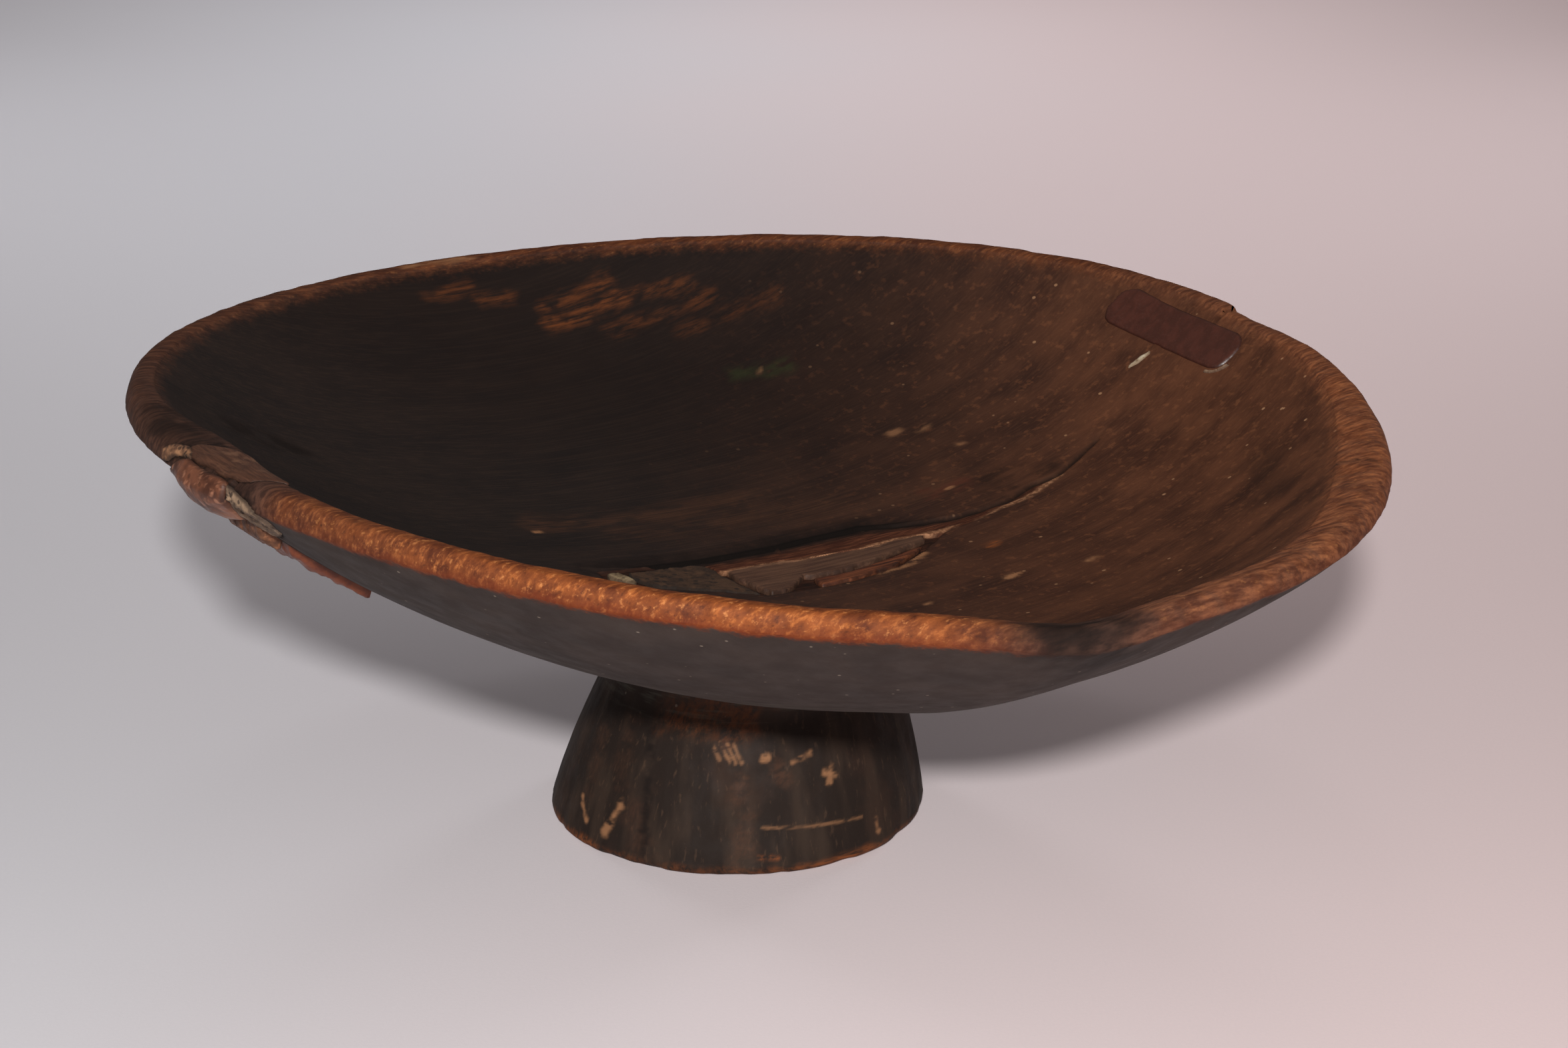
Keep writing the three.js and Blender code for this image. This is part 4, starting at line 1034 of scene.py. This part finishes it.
class Shade:
    """Builds the nodes of one material. Its noises run along the grain, or are turned as asked."""

    def __init__(self, name, turn=GRAIN_ANGLE):
        self.turn = turn
        self.material = bpy.data.materials.new(name)
        self.material.use_nodes = True
        self.tree = self.material.node_tree
        self.shader = self.tree.nodes["Principled BSDF"]
        self.place = self.tree.nodes.new("ShaderNodeTexCoord").outputs["Object"]

    def node(self, kind, inputs, **settings):
        made = self.tree.nodes.new(kind)
        for name, value in settings.items():
            setattr(made, name, value)
        for name, value in inputs.items():
            self.put(made.inputs[name], value)
        return made

    def put(self, socket, value):
        if isinstance(value, bpy.types.NodeSocket):
            self.tree.links.new(value, socket)
        else:
            socket.default_value = value

    def mask(self, name):
        return self.node("ShaderNodeAttribute", {}, attribute_name=name).outputs["Fac"]

    def times(self, first, second):
        return self.node("ShaderNodeMath", {0: first, 1: second}, operation="MULTIPLY").outputs[0]

    def plus(self, first, second):
        return self.node("ShaderNodeMath", {0: first, 1: second}, operation="ADD").outputs[0]

    def weighted(self, *pairs):
        """Sum of values, each times its weight."""
        total = 0.0
        for value, weight in pairs:
            total = self.plus(self.times(value, weight), total)
        return total

    def scaled(self, size, turn):
        """Coordinates turned by an angle and divided by a size in millimetres along each axis."""
        axes = self.node("ShaderNodeMapping", {"Vector": self.place, "Rotation": (0, 0, -turn)})
        scale = tuple(1 / (MM * part) for part in size)
        return self.node("ShaderNodeMapping", {"Vector": axes.outputs[0], "Scale": scale}).outputs[0]

    def noise(self, size, detail=3.0, roughness=0.55, distortion=0.0, turn=None):
        size = size if isinstance(size, tuple) else (size, size, size)
        vector = self.scaled(size, self.turn if turn is None else turn)
        made = self.node("ShaderNodeTexNoise", {"Vector": vector, "Scale": 1.0, "Detail": detail,
                                                "Roughness": roughness, "Distortion": distortion})
        return made.outputs["Fac"]

    def specks(self, size, low, high):
        """Scattered round specks: 1 inside a speck."""
        vector = self.scaled((size, size, size), GRAIN_ANGLE)
        made = self.node("ShaderNodeTexVoronoi", {"Vector": vector, "Scale": 1.0})
        return self.fit(made.outputs["Distance"], high, low)

    def fit(self, value, low, high, to_low=0.0, to_high=1.0, kind="SMOOTHSTEP"):
        """The value led from one range to another, with soft ends."""
        made = self.node("ShaderNodeMapRange", {"Value": value, "From Min": low, "From Max": high,
                                                "To Min": to_low, "To Max": to_high}, interpolation_type=kind)
        return made.outputs["Result"]

    def line(self, value, low, high):
        return self.fit(value, low, high, kind="LINEAR")

    def mix(self, share, first, second):
        return self.node("ShaderNodeMix", {0: share, 6: first, 7: second}, data_type="RGBA").outputs[2]

    def between(self, value, low, high, dark, light):
        """Dark colour below a range of the value, and light colour above it."""
        return self.mix(self.fit(value, low, high), dark, light)

    def tint(self, base, mask, colour, strength):
        """A base colour with another laid over it by a mask."""
        return self.mix(self.times(mask, strength), base, colour)

    def layers(self, base, *pairs):
        """A base colour with further colours laid over it by their masks."""
        for share, colour in pairs:
            base = self.mix(share, base, colour)
        return base

    def edged(self, colour, dark, strength=0.8):
        """A piece's colour, changed along its outline."""
        return self.tint(colour, self.fit(self.mask("inside"), 0.9, 0.1), dark, strength)

    def finish(self, colour, roughness, height, strength, specular=0.5, distance=0.0005):
        bump = self.node("ShaderNodeBump", {"Strength": strength, "Distance": distance, "Height": height})
        looks = {"Base Color": colour, "Roughness": roughness, "Specular IOR Level": specular,
                 "Normal": bump.outputs["Normal"]}
        for name, value in looks.items():
            self.put(self.shader.inputs[name], value)
        return self.material


def hollow_colour(wood, side, mottle, streaks):
    """Cool and nearly black at the left, warm brown at the right: partly the wood's own tone and partly
    painted shade at the left.
    """
    broad = wood.noise((90, 8, 16))
    dark = wood.mix(side, rgb(32, 27, 26), rgb(62, 36, 25))
    light = wood.mix(side, rgb(40, 32, 29), rgb(94, 57, 38))
    colour = wood.between(wood.weighted((broad, 0.5), (mottle, 0.5)), 0.34, 0.68, dark, light)
    colour = wood.tint(colour, streaks, wood.mix(side, rgb(60, 46, 38), rgb(104, 66, 45)), 0.25)
    colour = wood.tint(colour, wood.mask("shade"), rgb(26, 17, 14), 0.55)
    freckles = wood.times(wood.fit(wood.noise(2.6, 3, 0.6), 0.54, 0.7), side)
    colour = wood.tint(colour, freckles, rgb(112, 70, 46), 0.55)
    return wood.tint(colour, wood.times(wood.specks(7.5, 0.05, 0.09), side), rgb(164, 124, 92), 0.8)


def wall_colour(wood, field, mottle, streaks):
    """Matt cool grey with tiny pale specks, and scuffs low down."""
    colour = wood.between(mottle, 0.35, 0.7, rgb(50, 41, 37), rgb(59, 49, 44))
    colour = wood.tint(colour, streaks, rgb(74, 66, 61), 0.06)
    colour = wood.tint(colour, wood.specks(6.3, 0.04, 0.08), rgb(140, 128, 114), 0.7)
    scuffs = wood.fit(wood.noise((30, 9, 1.5), 4, 0.6, turn=0), 0.5, 0.66)
    return wood.tint(colour, wood.times(scuffs, wood.fit(field, 38, 52)), rgb(94, 92, 82), 0.55)


def foot_colour(wood, mottle):
    """Brown-black with faint lighter bands that run up it."""
    colour = wood.between(wood.noise((8, 8, 120), turn=0), 0.42, 0.66, rgb(33, 25, 21), rgb(48, 37, 30))
    colour = wood.tint(colour, wood.fit(mottle, 0.5, 0.7), rgb(48, 33, 26), 0.5)
    flecks = wood.fit(wood.noise((1.2, 1.2, 7), 3, 0.6, turn=0), 0.58, 0.72)
    return wood.tint(colour, flecks, rgb(84, 63, 48), 0.3)


def rim_band(wood, field, side):
    """Where the worn, fuzzy-edged band of the rim is, and its red-brown with gold on the crest."""
    rough_edge = wood.weighted((wood.plus(wood.noise(4.5, 4, 0.65), -0.5), 5),
                               (wood.plus(wood.noise(1.1, 3, 0.6), -0.5), 2.5))
    fuzzy = wood.plus(field, rough_edge)
    inner_edge = wood.fit(wood.plus(field, wood.times(rough_edge, 1.2)), -13.5, -7.5)
    band = wood.times(wood.fit(fuzzy, 8.0, 6.0), inner_edge)
    grains = wood.noise((2.6, 1.1, 1.2), 4, 0.65)
    fibres = wood.noise((9, 1.2, 2.2), 4, 0.65)
    tone = wood.weighted((wood.noise(8, 4, 0.6), 0.5), (fibres, 0.3), (grains, 0.2))
    rim = wood.mix(wood.line(tone, 0.4, 0.62), rgb(80, 38, 20), rgb(136, 73, 34))
    rim = wood.tint(rim, wood.line(fibres, 0.54, 0.72), rgb(182, 110, 56), 0.55)
    rim = wood.tint(rim, wood.line(grains, 0.58, 0.74), rgb(208, 140, 82), 0.6)
    rim = wood.tint(rim, wood.line(grains, 0.42, 0.28), rgb(54, 27, 16), 0.6)
    rim = wood.tint(rim, wood.fit(fuzzy, 3.0, 6.2), rgb(92, 38, 18), 0.75)
    ribs = wood.line(wood.noise((2.2, 14, 10), 3, 0.6, turn=RIGHT_ANGLE), 0.46, 0.34)
    rim = wood.tint(rim, wood.times(ribs, wood.fit(side, 0.75, 1.0)), rgb(60, 36, 28), 0.6)
    dull = wood.between(fibres, 0.35, 0.65, rgb(48, 33, 28), rgb(78, 54, 44))
    pink = wood.between(fibres, 0.35, 0.65, rgb(88, 54, 40), rgb(152, 100, 72))
    rim = wood.tint(rim, wood.fit(side, 0.7, 1.0), pink, 0.45)
    return band, wood.mix(wood.mask("worn"), dull, rim)


def dish_material():
    wood = Shade("dark_wood_look")
    field = wood.mask("rim_field")
    side = wood.mask("side")
    fibre = wood.noise((26, 0.7, 1.6))
    mottle = wood.noise(16, 4)
    fine = wood.noise(1.1, 3, 0.6)
    streaks = wood.fit(fibre, 0.46, 0.66)
    raw = wood.between(wood.noise((9, 0.9, 1), 3, 0.6), 0.4, 0.65, rgb(62, 33, 23), rgb(96, 56, 38))
    crumbly_lit_edge = wood.between(fine, 0.4, 0.6, rgb(112, 76, 54), rgb(158, 114, 84))
    grainy = wood.fit(wood.noise((18, 1.4, 2.4), 4, 0.7), 0.34, 0.66)
    body = wood.layers(
        wall_colour(wood, field, mottle, streaks),
        (wood.mask("foot"), foot_colour(wood, mottle)),
        (wood.mask("hollow"), hollow_colour(wood, side, mottle, streaks)),
        rim_band(wood, field, side),
        (wood.times(wood.mask("faded"), wood.fit(fibre, 0.3, 0.7, 0.3, 0.9)), rgb(76, 50, 36)),
        (wood.mask("raw"), raw),
        # Dark marks, darker above the floor's crack, and the painted shadow of the front rim on the inner
        # wall.
        (wood.mask("dark"), rgb(22, 16, 14)),
        # Pale crumbly edge of the split, partly painted highlight where it faces the light.
        (wood.mask("crumbly_lit_edge"), crumbly_lit_edge),
        (wood.times(wood.mask("orange"), grainy), rgb(126, 70, 36)),
        (wood.mask("red"), rgb(80, 44, 32)),
        (wood.mask("tan"), rgb(158, 112, 78)),
        (wood.mask("green"), rgb(46, 52, 30)),
        # Painted shade: nearly black in the cracks, the splits and along the repairs' outlines.
        (wood.mask("shaded_cleft"), rgb(15, 10, 8)))
    roughness = wood.fit(wood.noise(7, 4, 0.6), 0.3, 0.72, 0.62, 0.78)
    roughness = wood.plus(roughness, wood.times(wood.mask("shaded_cleft"), 0.25))
    fibre_height = wood.plus(wood.times(wood.mask("hollow"), 0.45), 0.02)
    height = wood.weighted((fibre, fibre_height), (fine, 0.3))
    return wood.finish(body, roughness, height, 0.35, specular=0.12)


def grained_material(name, dark, light, accent):
    """Broken wood with fibres along the grain, dark at its edges and pale where it crumbles, partly as
    painted highlight where that edge faces the light.
    """
    wood = Shade(name)
    fibre = wood.noise((22, 0.8, 1.4))
    fine = wood.noise(0.9, 3, 0.6)
    colour = wood.between(wood.noise((16, 4, 6)), 0.35, 0.7, rgb(*dark), rgb(*light))
    colour = wood.tint(colour, wood.fit(fibre, 0.4, 0.65), rgb(*accent), 0.6)
    colour = wood.edged(colour, rgb(34, 22, 17), wood.fit(wood.noise(3, 3, 0.6), 0.35, 0.55, 0.0, 0.6))
    colour = wood.mix(wood.mask("crumbly_lit_edge"), colour, rgb(150, 108, 80))
    roughness = wood.fit(fine, 0.3, 0.7, 0.5, 0.72)
    return wood.finish(colour, roughness, wood.weighted((fibre, 0.7), (fine, 0.3)), 0.4, specular=0.25)


def fragment_material():
    """Broken wood whose fibres run round the rim and close up at its right end."""
    wood = Shade("fragment_wood_look")
    first = wood.mask("first")
    place = wood.node("ShaderNodeCombineXYZ", {0: wood.times(first, 0.1), 1: wood.mask("second"), 2: 0.0})
    fan = wood.node("ShaderNodeTexNoise", {"Vector": place.outputs[0], "Scale": 1.3, "Detail": 4.0,
                                           "Roughness": 0.7, "Distortion": 0.6})
    fibre = fan.outputs["Fac"]
    fine = wood.noise(0.9, 3, 0.6)
    colour = wood.between(fibre, 0.38, 0.64, rgb(64, 41, 31), rgb(88, 58, 43))
    colour = wood.tint(colour, wood.fit(wood.noise(5, 3, 0.5), 0.55, 0.7), rgb(120, 86, 65), 0.6)
    colour = wood.mix(wood.fit(first, 3, 12), colour, rgb(72, 46, 34))
    colour = wood.edged(colour, rgb(36, 23, 18), 0.4)
    roughness = wood.fit(fine, 0.3, 0.7, 0.5, 0.65)
    return wood.finish(colour, roughness, wood.weighted((fibre, 1.0), (fine, 0.3)), 0.3, specular=0.25)


def lump_material():
    """Mottled brown resin with pinkish streaks, lighter low down at its right."""
    paste = Shade("brown_resin_look", turn=0)
    blotch = paste.noise(6)
    fine = paste.noise(1.6, 3, 0.6)
    colour = paste.between(blotch, 0.38, 0.64, rgb(66, 38, 27), rgb(108, 66, 47))
    pinkish = paste.fit(paste.noise((9, 2.2, 3), 3, 0.6), 0.52, 0.66)
    colour = paste.tint(colour, pinkish, rgb(150, 102, 78), 0.75)
    low = paste.times(paste.fit(paste.mask("second"), 11, 18), paste.fit(paste.mask("first"), -18, -8))
    colour = paste.tint(colour, low, rgb(140, 92, 66), 0.85)
    colour = paste.tint(colour, paste.specks(4, 0.1, 0.2), rgb(44, 27, 20), 0.5)
    colour = paste.edged(colour, rgb(30, 19, 14), 0.45)
    roughness = paste.fit(fine, 0.3, 0.7, 0.38, 0.55)
    height = paste.weighted((blotch, 1.0), (fine, 0.4))
    return paste.finish(colour, roughness, height, 0.4, specular=0.3, distance=0.0006)


def paste_material(name, dark, light, speck, sizes, roughness, bump):
    """Resin, putty or filler: blotches, finer mottling and pits of the given sizes."""
    paste = Shade(name, turn=0)
    fine = paste.noise(sizes[1], 3, 0.65)
    pits = paste.specks(sizes[2], 0.16, 0.34)
    colour = paste.between(paste.noise(sizes[0], 4, 0.6), 0.4, 0.62, rgb(*dark), rgb(*light))
    colour = paste.tint(colour, paste.fit(fine, 0.45, 0.7), rgb(*light), 0.5)
    colour = paste.edged(paste.tint(colour, pits, rgb(*speck), 0.75), rgb(*speck))
    rough = paste.fit(fine, 0.3, 0.7, roughness - 0.08, roughness + 0.1)
    return paste.finish(colour, rough, paste.weighted((fine, 0.6), (pits, -0.5)), bump, specular=0.3)


def leather_material():
    patch = Shade("patch_leather_look")
    waves = patch.noise((18, 3.2, 3.2), 3, 0.5, 0.4)
    fine = patch.noise(0.8, 3, 0.6)
    colour = patch.between(waves, 0.35, 0.68, rgb(60, 29, 20), rgb(71, 35, 25))
    colour = patch.tint(colour, patch.fit(fine, 0.55, 0.75), rgb(98, 58, 44), 0.15)
    colour = patch.edged(colour, rgb(46, 22, 16))
    roughness = patch.fit(fine, 0.3, 0.7, 0.36, 0.52)
    return patch.finish(colour, roughness, patch.weighted((waves, 0.6), (fine, 0.4)), 0.25)


def floor_material():
    """Pale cloth, cooler at the left and pinker at the right."""
    cloth = Shade("floor_pale", turn=0)
    across = cloth.node("ShaderNodeSeparateXYZ", {0: cloth.place}).outputs[0]
    side = cloth.plus(across, cloth.times(cloth.noise(500, 2, 0.5), 0.2))
    fine = cloth.noise(0.9, 2, 0.6)
    colour = cloth.between(side, -0.15, 0.35, rgb(211, 210, 215), rgb(228, 208, 208))
    colour = cloth.tint(colour, fine, rgb(176, 176, 182), 0.15)
    return cloth.finish(colour, 0.9, fine, 0.1, distance=0.0003)


def show(piece, node, material):
    """Gives a piece its material, ties it to the root body and hides the solid it stands for."""
    piece.data.materials.append(material)
    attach(piece, "root")
    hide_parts(node)


# The pieces, each with the solid that it stands for and its material. A paste has dark,
# light and speck colours, sizes of blotches, mottling and pits in millimetres, roughness and bump.
show(build_dish(), "dish_and_foot", dish_material())
show(build_fragment(), "rim_fragment", fragment_material())
show(build_lump(), "rim_lump", lump_material())
show(build_putty(), "rim_putty", paste_material(
    "rim_putty_look", (84, 66, 53), (134, 110, 88), (44, 32, 26), (4, 1.1, 2.1), 0.8, 0.6))
show(build_edge_filler(), "rim_edge_filler", paste_material(
    "edge_filler_look", (88, 60, 44), (136, 98, 70), (40, 27, 21), (2.6, 0.9, 2.2), 0.85, 0.7))
show(wall_piece("rim_splinter_look", SPLINTER, SPLINTER_PROUD, SPLINTER_ROUGH, 1.2),
     "rim_splinter", grained_material(
         "splinter_wood_look", (104, 64, 42), (144, 96, 66), (80, 44, 29)))
show(wall_piece("split_resin_look", RESIN, RESIN_PROUD, RESIN_ROUGH, 2.2),
     "split_resin", paste_material(
         "red_resin_look", (124, 58, 32), (186, 100, 56), (66, 30, 19), (6, 1.6, 3.0), 0.42, 0.35))
show(build_patch(), "wall_patch", leather_material())
show(build_bedding(), "patch_bedding", paste_material(
    "bedding_look", (120, 92, 70), (168, 142, 116), (74, 50, 38), (2.5, 0.8, 1.5), 0.75, 0.5))
show(build_streak(), "wall_putty_streak", paste_material(
    "streak_look", (156, 140, 116), (190, 178, 154), (110, 84, 62), (2.5, 0.8, 1.6), 0.8, 0.5))
show(floor_piece("floor_sliver_look", SLIVER, SLIVER_PROUD, SLIVER_ROUGH),
     "floor_sliver", grained_material(
         "sliver_wood_look", (66, 44, 34), (88, 61, 46), (98, 70, 53)))
show(floor_piece("floor_sliver_small_look", SMALL_SLIVER, SMALL_SLIVER_PROUD, SMALL_SLIVER_ROUGH),
     "floor_sliver_small", grained_material(
         "small_sliver_wood_look", (48, 25, 18), (90, 46, 27), (122, 70, 43)))
show(floor_piece("floor_crack_filler_look", FLOOR_FILLER, FLOOR_FILLER_PROUD, FLOOR_FILLER_ROUGH),
     "floor_crack_filler", paste_material(
         "crack_filler_look", (46, 31, 21), (70, 48, 32), (24, 17, 13), (5, 1.4, 2.6), 0.9, 0.5))
show(floor_piece("floor_putty_spot_look", FLOOR_PUTTY, FLOOR_PUTTY_PROUD, FLOOR_PUTTY_ROUGH),
     "floor_putty_spot", paste_material(
         "putty_spot_look", (96, 78, 56), (148, 128, 98), (62, 46, 34), (3, 0.9, 1.8), 0.8, 0.6))


# Floor and lights
FLOOR_SIZE = 4.0
floor_mesh = bpy.data.meshes.new("floor")
floor_mesh.from_pydata([(-FLOOR_SIZE, -FLOOR_SIZE, 0), (FLOOR_SIZE, -FLOOR_SIZE, 0),
                        (FLOOR_SIZE, FLOOR_SIZE, 0), (-FLOOR_SIZE, FLOOR_SIZE, 0)], [], [(0, 1, 2, 3)])
floor_mesh.materials.append(floor_material())
floor = bpy.data.objects.new("floor", floor_mesh)
bpy.context.collection.objects.link(floor)

# Lamps: name, place, target, size, power, colour, spread in degrees, and whether it only softens.
# The fills soften the cloth far behind and the dish's own back.
KEY_COLOUR = (1.0, 0.985, 0.965)
FILL_COLOUR = (0.97, 0.98, 1.0)
LAMPS = (
    ("key", (0, -1.05, 0.59), (0, 0, 0.08), 0.07, 16.8, KEY_COLOUR, 180, False),
    ("far_floor", (0, 1.1, 1.7), (0, 1.1, 0), 0.6, 2.6, FILL_COLOUR, 64, True),
    ("rear_left", (-0.9, 1.2, 0.3), (0, 0, 0.07), 0.5, 0.8, FILL_COLOUR, 60, True),
    ("rear_right", (0.9, 1.2, 0.3), (0, 0, 0.07), 0.5, 0.8, FILL_COLOUR, 60, True))

for name, place, target, size, power, colour, spread, softens in LAMPS:
    light = bpy.data.lights.new(name, "AREA")
    light.shape = "DISK"
    light.size = size
    light.energy = power
    light.color = colour
    light.spread = spread * DEGREE
    lamp = bpy.data.objects.new(name, light)
    lamp.location = place
    lamp.rotation_euler = (Vector(target) - Vector(place)).to_track_quat("-Z", "Y").to_euler()
    lamp.visible_glossy = not softens
    lamp.visible_camera = not softens
    bpy.context.collection.objects.link(lamp)

world = bpy.data.worlds.new("studio")
world.use_nodes = True
world.node_tree.nodes["Background"].inputs["Color"].default_value = (1, 0.85, 0.81, 1)
world.node_tree.nodes["Background"].inputs["Strength"].default_value = 0.15
bpy.context.scene.world = world
bpy.context.scene.view_settings.view_transform = "Standard"
